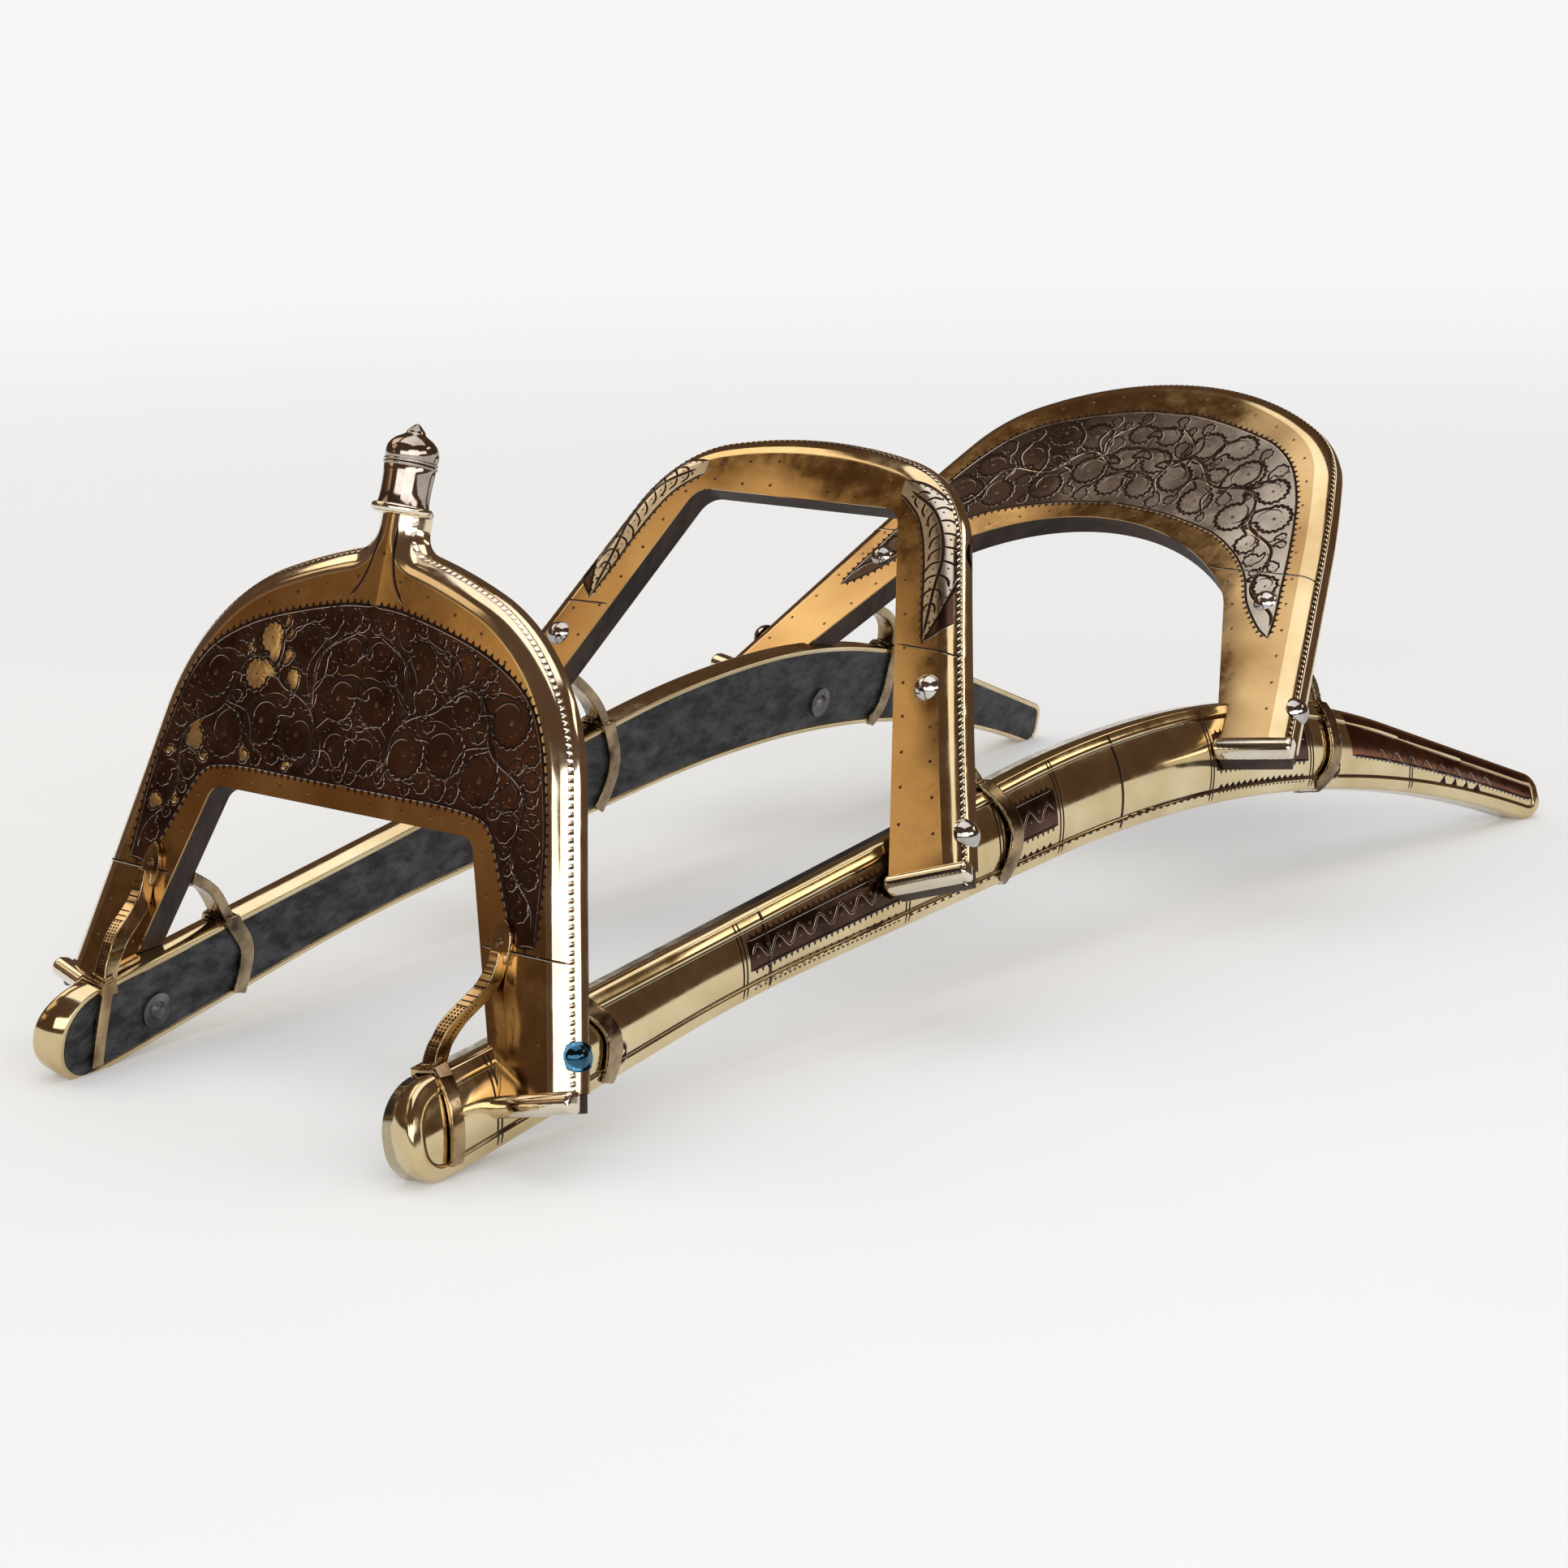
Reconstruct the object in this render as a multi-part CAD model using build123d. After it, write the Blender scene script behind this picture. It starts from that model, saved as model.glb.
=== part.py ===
from build123d import *
import math
import os

# Camel saddle stool: two long runners carry three leaning arches.
# X runs across the stool, Y runs lengthwise from the finial end (-Y) to the
# tail (+Y), Z is up and the runners stand on the ground at Z = 0.
# All lengths are in millimetres and all angles in degrees.

# Runner outline, drawn on the slanted outer plane of the left runner.
# Its own axes: first value along the stool, second value up the plane.
runner_foot_x = 142.0
runner_splay_share = 0.077
runner_lean_share = 0.192
runner_nose_reach = 398.0
runner_tail_reach = 392.0
runner_thickness = 10.0
runner_top_at = 88.0
runner_top_rise = 105.9
runner_top_nose_radius = 700.0
runner_top_nose_turn = 9.0
runner_top_tail_radius = 480.0
runner_top_tail_turn = 21.5
runner_belly_at = 85.0
runner_belly_rise = 57.0
runner_belly_nose_radius = 900.0
runner_belly_nose_turn = 5.5
runner_belly_straight = 164.0
runner_belly_tail_radius = 790.0
runner_belly_tail_turn = 25.0
runner_run_out = 400.0
nose_top_radius = 22.0
nose_belly_radius = 16.5
tail_top_radius = 9.0
tail_belly_radius = 9.5

# Rounded outer face of the runner: how far it swells for its own height, and
# where its cross-sections stand, counted from the nose, the middle and the tail.
swell_share = 0.15
swell_margin = 3.0
swell_depth = 40.0
swell_from_nose = [-14.0, 13.0, 58.0, 118.0]
swell_from_middle = [-200.0, -110.0, 0.0, runner_top_at]
swell_from_tail = [222.0, 152.0, 92.0, 42.0, 7.0, -20.0]
swell_stations = [away - runner_nose_reach for away in swell_from_nose] + swell_from_middle
swell_stations += [runner_tail_reach - away for away in swell_from_tail]

# Sheet metal and fits.
sheet = 0.8
band = 0.6
edging_lap = 7.0
gap = 0.3
skirt = 1.0
runner_front_seam = -195.0
runner_rear_seam = 45.0
seat_level = 1.5

# Arches: every arch is a flat board, drawn on its leaning front plane.
# First value is half of the width, second value runs up the plane.
# Its y is where the plane meets the ground; bolts and braces are counted from there.
arch_thickness = 12.0
edge_radius = 11.6
band_start = 5.5
leg_run_out = 120.0
reach = 500.0

front_lean = 17.6
front_setback = 38.0
front_y = front_setback - runner_nose_reach
front_neck_half = 12.5
front_neck_top = 250.0
front_neck_straight = 5.0
front_neck_radius = 9.5
front_neck_turn = 78.0
front_crest_radius = 303.0
front_crest_turn = 8.1
front_shoulder_radius = 99.4
front_shoulder_turn = 56.6
front_leg_radius = 2760.0
front_leg_turn = 1.3
front_gap_top = 125.5
front_gap_flat = 72.4
front_gap_corner = 8.0
front_gap_turn = 69.9
front_foot_half = 116.5
front_foot_rise = 20.3
front_foot_slope = 14.0
front_foot_bar = 7.6
front_seam = 85.0

middle_lean = 33.6
middle_y = -166.0
middle_crest = 288.5
middle_crest_radius = 267.5
middle_crest_turn = 11.8
middle_shoulder_radius = 64.2
middle_shoulder_turn = 56.0
middle_leg_radius = 3900.0
middle_leg_turn = 2.7
middle_gap_top = 254.5
middle_gap_flat = 53.5
middle_gap_corner = 12.0
middle_gap_turn = 68.5
middle_foot_half = 132.3
middle_foot_rise = 75.3
middle_foot_slope = 19.6
middle_foot_bar = 7.4
middle_seam = 189.0

rear_lean = 52.4
rear_y = 8.4
rear_crest = 386.0
rear_crest_radius = 167.7
rear_crest_turn = 31.8
rear_shoulder_radius = 75.0
rear_shoulder_turn = 35.1
rear_leg_radius = 754.0
rear_leg_turn = 4.6
rear_gap_top = 278.0
rear_gap_crest_radius = 132.2
rear_gap_crest_turn = 42.8
rear_gap_shoulder_radius = 52.1
rear_gap_shoulder_turn = 21.9
rear_foot_half = 142.5
rear_foot_rise = 133.8
rear_foot_slope = 10.6
rear_foot_bar = 9.0
rear_seam = 252.0

# Rounded moulding across the front of every foot.
foot_bar_front = 3.0
foot_bar_back = 4.0
foot_bar_overhang = 1.2

# Turned finial on the neck of the front arch.
finial_depth = 5.8
post_radius = 3.5
post_sink = 26.0
post_rise = 14.0
collar_neck = 11.5
collar_flare = 16.0
collar_lip = 1.6
collar_height = 4.5
sleeve_height = 17.5
sleeve_foot = 13.4
sleeve_waist = 13.0
sleeve_top = 15.0
cap_groove = 13.9
cap_groove_height = 1.2
cap_rim = 15.3
cap_rim_height = 3.2
cap_height = 16.5
cap_tip = 1.0
cap_shoulder = 5.0
cap_shoulder_share = 0.72

# Flat iron braces: path along the runner from the arch's y, up the runner's plane.
brace_width = 11.0
brace_thickness = 5.0
strap_width = 8.0
strap_thickness = 2.2
strap_span = 60.0
tab_thickness = 2.0
front_brace_path = [(26.0, 85.0), (36.5, 78.0), (48.0, 69.5), (56.0, 58.5)]
front_brace_path += [(62.5, 49.0), (69.5, 38.0), (69.5, 28.0), (67.0, 17.0)]
middle_brace_path = [(86.0, 129.0), (98.0, 121.0), (112.0, 109.5), (121.0, 98.5)]
middle_brace_path += [(127.5, 86.0), (131.5, 73.0), (129.5, 62.0), (123.0, 50.5)]
rear_brace_path = [(163.6, 125.0), (175.6, 119.0), (193.6, 112.0), (203.1, 104.0)]
rear_brace_path += [(206.1, 93.0), (204.6, 80.0), (202.1, 64.0), (190.6, 50.5)]
front_tab_half = 101.0
front_tab_low = 80.0
front_tab_high = 106.0
front_tab_nail = 98.0
middle_tab_half = 113.0
middle_tab_low = 149.0
middle_tab_high = 179.0
middle_tab_nail = 171.0
rear_tab_half = 122.5
rear_tab_low = 205.0
rear_tab_high = 245.0
rear_tab_nail = 234.0
tab_width = 13.0

# Goosenecks: hooks from the runner noses up to the front of the front legs.
# Their places lengthwise are counted from the front arch's y.
hook_front = [(-11.0, 34.0), (-10.0, 49.0), (-5.0, 57.5), (5.0, 65.0), (15.0, 73.0), (20.0, 82.0)]
hook_back = [(-1.0, 34.0), (0.5, 48.0), (5.0, 54.0), (13.5, 60.5), (22.0, 67.0), (28.0, 75.0)]
hook_inner = [(95.5, 34.0), (95.8, 50.0), (97.0, 60.0), (100.0, 68.0), (102.3, 76.0), (102.8, 84.0)]
hook_outer = [(104.0, 34.0), (104.6, 50.0), (107.3, 60.0), (109.7, 68.0), (110.8, 76.0), (110.0, 84.0)]
leaf_half = 105.2
leaf_low = 76.0
leaf_wide_at = 84.5
leaf_high = 96.8
leaf_width = 15.0
leaf_thickness = 2.2
hook_strap_path = [(-13.0, 48.0), (-14.0, 36.0), (-15.5, 22.0), (-16.5, 5.0)]
hook_strap_width = 9.0

# Bolts, washers and rivets.
bolt_radius = 2.5
peen_radius = 4.2
peen_height = 2.6
washer_radius = 8.0
washer_thickness = 1.3
bolt_bite = 22.0
front_bolt_behind = 17.0
front_bolt_rise = 22.0
middle_bolt_behind = 68.5
middle_bolt_rise = 69.5
rear_bolt_behind = 138.1
rear_bolt_rise = 71.0
stud_radius = 7.2
stud_height = 5.6
stud_shank = 1.8
stud_length = 14.0
stud_depth = 6.3
stud_seat = 2.4
stud_tilt = 20.0
front_stud_left = 50.8
front_stud_right = 31.9
front_stud_half_left = 149.7
front_stud_half_right = 154.6
front_stud_turn = 14.6
middle_stud_rise = 110.4
middle_stud_half = 158.3
middle_stud_turn = 25.0
rear_stud_rise = 173.0
rear_stud_half = 171.3
rear_stud_turn = 18.6
rivet_radius = 6.4
rivet_height = 4.2
rivet_shank = 1.8
tab_nail_radius = 3.0
tab_nail_height = 1.6
leaf_nail_radius = 2.0
leaf_nail_height = 1.2
leaf_nail_at = 87.5
leaf_nail_sink = 8.0
leaf_nail_shank = 1.0

os.makedirs("parts", exist_ok=True)


# Helpers for outlines
def arc_chain(start, heading, bends, run_out, inset):
    # Arcs given as (radius, turn) pairs and then a straight run; the whole
    # chain can be moved sideways by an inset towards its right-hand side.
    angle = math.radians(heading)
    point = Vector(start[0] + inset * math.sin(angle), start[1] - inset * math.cos(angle))
    direction = Vector(math.cos(angle), math.sin(angle))
    edges = []
    for radius, turn in bends:
        if radius == 0:
            arc = Line(point, point + direction * turn)
        else:
            moved_radius = radius - inset if turn < 0 else radius + inset
            arc = JernArc(point, direction, moved_radius, turn)
        edges.append(arc)
        point = arc @ 1
        direction = arc % 1
    edges.append(Line(point, point + direction * run_out))
    return edges


def closed_face(edges):
    return Face(Wire([edge for part in edges for edge in part.edges()]))


def mirrored_face(edges):
    # Joins a right-hand chain with its mirror image and closes the ends.
    start = edges[0] @ 0
    end = edges[-1] @ 1
    mirror_edges = [mirror(edge, about=Plane.YZ) for edge in edges]
    closing = [Line(Vector(-end.X, end.Y), end)]
    if start.X > gap:
        closing.append(Line(Vector(-start.X, start.Y), start))
    return closed_face(edges + mirror_edges + closing)


def slab(face, low, high):
    # A prism of the face between two heights above its plane.
    return Pos(0, 0, low) * extrude(face, amount=high - low, dir=(0, 0, 1))


# Runners, in their own axes: along, up, outward
runner_plane = Plane(
    origin=(runner_foot_x, 0, 0),
    x_dir=(runner_splay_share, 1, 0),
    z_dir=(1, -runner_splay_share, runner_lean_share),
)


top_nose = [(runner_top_nose_radius, -runner_top_nose_turn)]
top_tail = [(runner_top_tail_radius, -runner_top_tail_turn)]
belly_nose = [
    (runner_belly_nose_radius, -runner_belly_nose_turn),
    (0, runner_belly_straight),
    (runner_belly_nose_radius, -runner_belly_nose_turn),
]
belly_tail = [(runner_belly_tail_radius, -runner_belly_tail_turn)]


def edge_drop(away, bends):
    # How far a long edge has dropped at a distance from its highest place.
    angle = 0
    drop = 0
    for radius, turn in bends:
        if radius == 0:
            step = min(away, turn * math.cos(angle))
            drop = drop + step * math.tan(angle)
        else:
            full = radius * (math.sin(angle - math.radians(turn)) - math.sin(angle))
            step = min(away, full)
            next_angle = math.asin(math.sin(angle) + step / radius)
            drop = drop + radius * (math.cos(angle) - math.cos(next_angle))
            angle = next_angle
        away = away - step
    return drop + away * math.tan(angle)


def edge_height(along, at, rise, nose, tail):
    # Height of a long curved edge of the runner at a place along it.
    return rise - edge_drop(abs(along - at), tail if along > at else nose)


def edge_region(at, rise, nose, tail, inset):
    # Everything below a long curved edge of the runner, less the inset.
    tail_edges = arc_chain((at, rise), 0, tail, runner_run_out, inset)
    nose_edges = arc_chain((-at, rise), 0, nose, runner_run_out, inset)
    nose_edges = [mirror(edge, about=Plane.YZ) for edge in nose_edges]
    tail_end = tail_edges[-1] @ 1
    nose_end = nose_edges[-1] @ 1
    low = min(tail_end.Y, nose_end.Y) - runner_run_out
    tail_low = Vector(tail_end.X, low)
    nose_low = Vector(nose_end.X, low)
    closing = [Line(tail_end, tail_low), Line(tail_low, nose_low), Line(nose_low, nose_end)]
    return closed_face(tail_edges + nose_edges + closing)


def runner_face(inset):
    # Outline of the runner, moved inwards by the inset.
    top = edge_region(runner_top_at, runner_top_rise, top_nose, top_tail, inset)
    belly = edge_region(runner_belly_at, runner_belly_rise, belly_nose, belly_tail, -inset)
    length = runner_nose_reach + runner_tail_reach - 2 * inset
    middle = (runner_tail_reach - runner_nose_reach) / 2
    face = (Sketch() + top - belly) & Pos(middle, 0) * Rectangle(length, reach)
    for radius, end, level in [
        (nose_belly_radius, 0, 0),
        (nose_top_radius, 0, 1),
        (tail_belly_radius, -1, 0),
        (tail_top_radius, -1, 1),
    ]:
        corners = face.vertices().sort_by(Axis.X)
        corners = corners[:2] if end == 0 else corners[-2:]
        face = fillet(corners.sort_by(Axis.Y)[level], radius - inset)
    return face


def swell_section(along):
    # Cross-section of the runner: flat inside, an arc outside.
    top = edge_height(along, runner_top_at, runner_top_rise, top_nose, top_tail)
    belly = edge_height(along, runner_belly_at, runner_belly_rise, belly_nose, belly_tail)
    half = (top - belly) / 2
    centre = (top + belly) / 2
    swell = swell_share * 2 * half
    radius = (half**2 + swell**2) / (2 * swell)
    wide = half + swell_margin
    edge = swell - radius + math.sqrt(radius**2 - wide**2)
    low_left = Vector(centre - wide, -swell_depth)
    low_right = Vector(centre + wide, -swell_depth)
    high_left = Vector(centre - wide, edge)
    high_right = Vector(centre + wide, edge)
    outline = [
        Line(low_left, low_right),
        Line(low_right, high_right),
        ThreePointArc(high_right, Vector(centre, swell), high_left),
        Line(high_left, low_left),
    ]
    section_plane = Plane(origin=(along, 0, 0), x_dir=(0, 1, 0), z_dir=(1, 0, 0))
    return section_plane * closed_face(outline)


swell_body = loft([swell_section(along) for along in swell_stations])


def under_swell(lift):
    # The room under the rounded outer face, raised by the lift.
    return Pos(0, 0, lift) * swell_body


def runner_solid(grow):
    # The whole clad runner, larger by the same amount on every side.
    prism = slab(runner_face(-grow), -runner_thickness - grow, swell_depth)
    return prism & under_swell(2 * sheet + grow)


def single(shape):
    # The one solid of a result; anything else means a broken piece.
    solids = shape.solids()
    if len(solids) != 1:
        raise ValueError(f"expected one solid and got {len(solids)}")
    return solids[0]


ground = Pos(0, 0, reach) * Box(4 * reach, 4 * reach, 2 * reach)


def shaft(radius, low, high):
    return Pos(0, 0, (low + high) / 2) * Cylinder(radius, high - low)


bolts = {
    "front": Pos(front_y + front_bolt_behind, front_bolt_rise, 0),
    "middle": Pos(middle_y + middle_bolt_behind, middle_bolt_rise, 0),
    "rear": Pos(rear_y + rear_bolt_behind, rear_bolt_rise, 0),
}
bolt_room = shaft(bolt_radius + gap, -swell_depth, bolt_bite)
wood_face = runner_face(sheet)
full_face = runner_face(0)
lap_face = runner_face(edging_lap)


def runner_pieces():
    # All pieces of one runner in its own axes, holes included.
    board = slab(wood_face, -runner_thickness, swell_depth) & under_swell(0)
    skin = slab(wood_face, -runner_thickness / 2, swell_depth) & under_swell(sheet)
    skin = skin - under_swell(0)
    edging = slab(full_face - wood_face, -runner_thickness, swell_depth) & under_swell(2 * sheet)
    lap = slab(wood_face - lap_face, -runner_thickness / 2, swell_depth) & under_swell(2 * sheet)
    edging = edging + (lap - under_swell(sheet))
    cuts = [-reach, runner_front_seam, runner_rear_seam, reach]
    pieces = {"runner_board": board, "runner_edging": edging}
    for name, low, high in zip(["front", "middle", "rear"], cuts[:-1], cuts[1:]):
        window = Pos((low + high) / 2, 0, 0) * Box(high - low, reach, reach)
        pieces["runner_" + name + "_sheet"] = skin & window
    for name in pieces:
        for place in bolts.values():
            pieces[name] = pieces[name] - place * bolt_room
    return pieces


def on_runner(shape, side):
    # Places a shape from the runner's axes on the left or right side.
    placed = runner_plane.location * shape
    return placed if side == 0 else mirror(placed, about=Plane.YZ)


nodes = {}


def counted_from(start, points):
    # Points whose first value is counted from a start, in common axes.
    return [(start + along, up) for along, up in points]


# Arches, each in its own axes: across, up the board, out of its front
def leaning_plane(lean, y):
    angle = math.radians(lean)
    return Plane(origin=(0, y, 0), x_dir=(1, 0, 0), z_dir=(0, -math.cos(angle), math.sin(angle)))


def front_outline(inset):
    bends = [
        (0, front_neck_straight + skirt),
        (front_neck_radius, front_neck_turn),
        (front_crest_radius, -front_crest_turn),
        (front_shoulder_radius, -front_shoulder_turn),
        (front_leg_radius, front_leg_turn),
    ]
    return arc_chain((front_neck_half, front_neck_top + skirt), -90, bends, leg_run_out, inset)


def middle_outline(inset):
    bends = [
        (middle_crest_radius, -middle_crest_turn),
        (middle_shoulder_radius, -middle_shoulder_turn),
        (middle_leg_radius, middle_leg_turn),
    ]
    return arc_chain((0, middle_crest), 0, bends, leg_run_out, inset)


def rear_outline(inset):
    bends = [
        (rear_crest_radius, -rear_crest_turn),
        (rear_shoulder_radius, -rear_shoulder_turn),
        (rear_leg_radius, -rear_leg_turn),
    ]
    return arc_chain((0, rear_crest), 0, bends, 2 * leg_run_out, inset)


front_gap = [(0, front_gap_flat), (front_gap_corner, -front_gap_turn)]
middle_gap = [(0, middle_gap_flat), (middle_gap_corner, -middle_gap_turn)]
rear_gap = [
    (rear_gap_crest_radius, -rear_gap_crest_turn),
    (rear_gap_shoulder_radius, -rear_gap_shoulder_turn),
]

arches = {
    "front": {
        "plane": leaning_plane(front_lean, front_y),
        "outline": front_outline,
        "gap": arc_chain((0, front_gap_top), 0, front_gap, reach, 0),
        "clear_gap": arc_chain((0, front_gap_top), 0, front_gap, reach, gap),
        "foot": (front_foot_half, front_foot_rise, front_foot_slope, front_foot_bar),
        "seam": front_seam,
        "tab": (front_tab_half, front_tab_low, front_tab_high, front_tab_nail),
        "brace": counted_from(front_y, front_brace_path),
        "studs": (
            (front_stud_half_left, front_stud_left, front_stud_turn),
            (front_stud_half_right, front_stud_right, front_stud_turn),
        ),
    },
    "middle": {
        "plane": leaning_plane(middle_lean, middle_y),
        "outline": middle_outline,
        "gap": arc_chain((0, middle_gap_top), 0, middle_gap, reach, 0),
        "clear_gap": arc_chain((0, middle_gap_top), 0, middle_gap, reach, gap),
        "foot": (middle_foot_half, middle_foot_rise, middle_foot_slope, middle_foot_bar),
        "seam": middle_seam,
        "tab": (middle_tab_half, middle_tab_low, middle_tab_high, middle_tab_nail),
        "brace": counted_from(middle_y, middle_brace_path),
        "studs": ((middle_stud_half, middle_stud_rise, middle_stud_turn),) * 2,
    },
    "rear": {
        "plane": leaning_plane(rear_lean, rear_y),
        "outline": rear_outline,
        "gap": arc_chain((0, rear_gap_top), 0, rear_gap, reach, 0),
        "clear_gap": arc_chain((0, rear_gap_top), 0, rear_gap, reach, gap),
        "foot": (rear_foot_half, rear_foot_rise, rear_foot_slope, rear_foot_bar),
        "seam": rear_seam,
        "tab": (rear_tab_half, rear_tab_low, rear_tab_high, rear_tab_nail),
        "brace": counted_from(rear_y, rear_brace_path),
        "studs": ((rear_stud_half, rear_stud_rise, rear_stud_turn),) * 2,
    },
}


def below_foot(foot, lift):
    # Everything under the slanted soles of an arch, raised by the lift.
    half, rise, slope, bar = foot
    fall = math.tan(math.radians(slope))
    start = Vector(0, rise + lift - half * fall)
    end = Vector(reach, rise + lift + (reach - half) * fall)
    return mirrored_face([Line(start, end), Line(end, Vector(reach, -reach))])


def rounded_slab(face, low, high, radius):
    # A board whose front edge is rounded all along its outline.
    body = slab(face, low, high)
    rim = body.faces().sort_by(Axis.Z)[-1].edges().filter_by(Axis.X, reverse=True)
    return fillet(rim, radius)


def both_sides(shape):
    return [shape, mirror(shape, about=Plane.YZ)]


def dome(radius, height):
    # A low dome standing on its flat side.
    ball = (radius**2 + height**2) / (2 * height)
    block = Pos(0, 0, ball) * Box(2 * ball, 2 * ball, 2 * ball)
    return Pos(0, 0, height - ball) * Sphere(ball) & block


clear_runner = runner_solid(gap)
side_names = ["left", "right"]
leg_seat = slab(runner_face(-gap), -runner_thickness - gap, seat_level + gap)
leg_seats = [on_runner(leg_seat, side) for side in (0, 1)]
half_space = Pos(0, 0, -reach / 2) * Box(2 * reach, 2 * reach, reach)


def stud_place(name, side):
    # Where a stud stands on the rounded edge of a leg, pointing outwards.
    half, rise, turn = arches[name]["studs"][side]
    out = Vector(1, 0, 0).rotate(Axis.Y, -stud_tilt).rotate(Axis.Z, turn)
    seat = Vector(half, rise, -stud_depth) - out * stud_seat
    return Plane(origin=seat, z_dir=out).location


def at_stud(name, shape, side):
    placed = stud_place(name, side) * shape
    return placed if side == 0 else mirror(placed, about=Plane.YZ)


def fastener_holes(name):
    # Holes of the bolts and studs of an arch, in the common axes.
    stud_room = shaft(stud_shank + gap, -stud_length, stud_height)
    holes = []
    for side in (0, 1):
        holes.append(on_runner(bolts[name] * bolt_room, side))
        holes.append(arches[name]["plane"].location * at_stud(name, stud_room, side))
    return holes


def arch_pieces(name):
    # Board, sheet metal, side strip and foot bars of one arch.
    arch = arches[name]
    foot = arch["foot"]
    bar_height = foot[3]
    opening = slab(mirrored_face(arch["gap"]), -reach / 2, reach / 2)
    sole = slab(below_foot(foot, 0), -reach / 2, reach / 2)
    bar_line = slab(below_foot(foot, bar_height), -reach / 2, reach / 2)
    notch = slab(below_foot(foot, bar_height), -foot_bar_back, reach)
    outer = arch["outline"]
    wood = rounded_slab(
        mirrored_face(outer(band + sheet)), -arch_thickness, -sheet, edge_radius - band - sheet
    )
    clad = rounded_slab(mirrored_face(outer(band)), -arch_thickness, 0, edge_radius - band)
    over = rounded_slab(mirrored_face(outer(0)), -arch_thickness, band, edge_radius)
    skin = clad - wood - opening - bar_line
    side_room = Pos(0, 0, -band_start) * half_space
    strip = (over & side_room) - clad - opening - bar_line
    board = wood - opening - sole - notch
    if name == "front":
        above = Pos(0, front_neck_top + reach / 2, 0) * Box(reach, reach, reach)
        skin, strip, board = skin - above, strip - above, board - above
        board = board - finial_axis * shaft(post_radius + gap, -post_sink, skirt)
    seam = arch["seam"]
    upper = Pos(0, seam + reach / 2, 0) * Box(2 * reach, reach, reach)
    right_half = Pos(-reach, 0, 0) * Box(2 * reach, 4 * reach, reach)
    legs = skin - upper
    bar_face = (Sketch() + below_foot(foot, bar_height) - below_foot(foot, 0)) & mirrored_face(
        outer(-foot_bar_overhang)
    )
    bar_face = bar_face - mirrored_face(arch["gap"])
    bars = slab(bar_face, -foot_bar_back, foot_bar_front)
    bar_left = single(bars - right_half)
    edges = bar_left.faces().sort_by(Axis.Z)[-1].edges().sort_by(SortBy.LENGTH)[-2:]
    bar_left = fillet(edges, bar_height / 2 - gap)
    pieces = {
        name + "_arch_board": board,
        name + "_arch_crown_sheet": skin & upper,
        "left_" + name + "_leg_sheet": legs - right_half,
        "right_" + name + "_leg_sheet": legs & right_half,
        "left_" + name + "_foot_bar": bar_left,
        "right_" + name + "_foot_bar": mirror(bar_left, about=Plane.YZ),
    }
    if name == "front":
        pieces["left_front_arch_side_strip"] = strip - right_half
        pieces["right_front_arch_side_strip"] = strip & right_half
    else:
        pieces[name + "_arch_side_strip"] = strip
    half, low, high, nail = arch["tab"]
    holes = both_sides(Pos(half, nail, 0) * shaft(rivet_shank + gap, -reach / 2, reach / 2))
    if name == "front":
        nail_room = shaft(rivet_shank + gap, -skirt, leaf_nail_sink + gap)
        leaf_room = shaft(leaf_nail_shank + gap, -leaf_nail_sink - gap, 0)
        holes = both_sides(Pos(half, nail, -arch_thickness) * nail_room)
        holes += both_sides(Pos(leaf_half, leaf_nail_at, leaf_thickness) * leaf_room)
    for key, piece in pieces.items():
        if "bar" not in key:
            for hole in holes:
                piece = piece - hole
        placed = arch["plane"].location * piece
        for cutter in leg_seats + fastener_holes(name):
            placed = placed - cutter
        pieces[key] = placed
    return pieces, over - opening - bar_line


def leg_room(name):
    # The room that the legs of an arch take in the rounded runner faces.
    arch = arches[name]
    bar_height = arch["foot"][3]
    body = rounded_slab(
        mirrored_face(arch["outline"](-gap)), -arch_thickness - gap, band + gap, edge_radius + gap
    )
    bar_face = mirrored_face(arch["outline"](-foot_bar_overhang - gap))
    bar_zone = (Sketch() + bar_face) & below_foot(arch["foot"], bar_height + gap)
    body = body + slab(bar_zone, -foot_bar_back, foot_bar_front + gap)
    body = body - slab(mirrored_face(arch["clear_gap"]), -reach / 2, reach / 2)
    body = body - slab(below_foot(arch["foot"], -gap), -reach / 2, reach / 2)
    runner_side = runner_plane.location * Pos(0, 0, seat_level + reach / 2) * Box(2 * reach, reach, reach)
    return arch["plane"].location * body & runner_side


# The finial turns about a line that runs up the front arch
finial_axis = Pos(0, front_neck_top, -finial_depth) * Rot(-90, 0, 0)


def turned(points, bore):
    profile = Face(Wire(Polyline(*points, close=True).edges()))
    return revolve(Plane.XZ * profile, axis=Axis.Z) - shaft(bore, -reach, reach)


arch_covers = {}
for name in arches:
    pieces, cover = arch_pieces(name)
    arch_covers[name] = arches[name]["plane"].location * cover
    nodes.update(pieces)

leg_rooms = [leg_room(name) for name in arches]
for name, piece in runner_pieces().items():
    placed = on_runner(piece, 0) & ground
    for room in leg_rooms:
        placed = placed - room
    nodes["left_" + name] = placed
    nodes["right_" + name] = mirror(placed, about=Plane.YZ)

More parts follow.
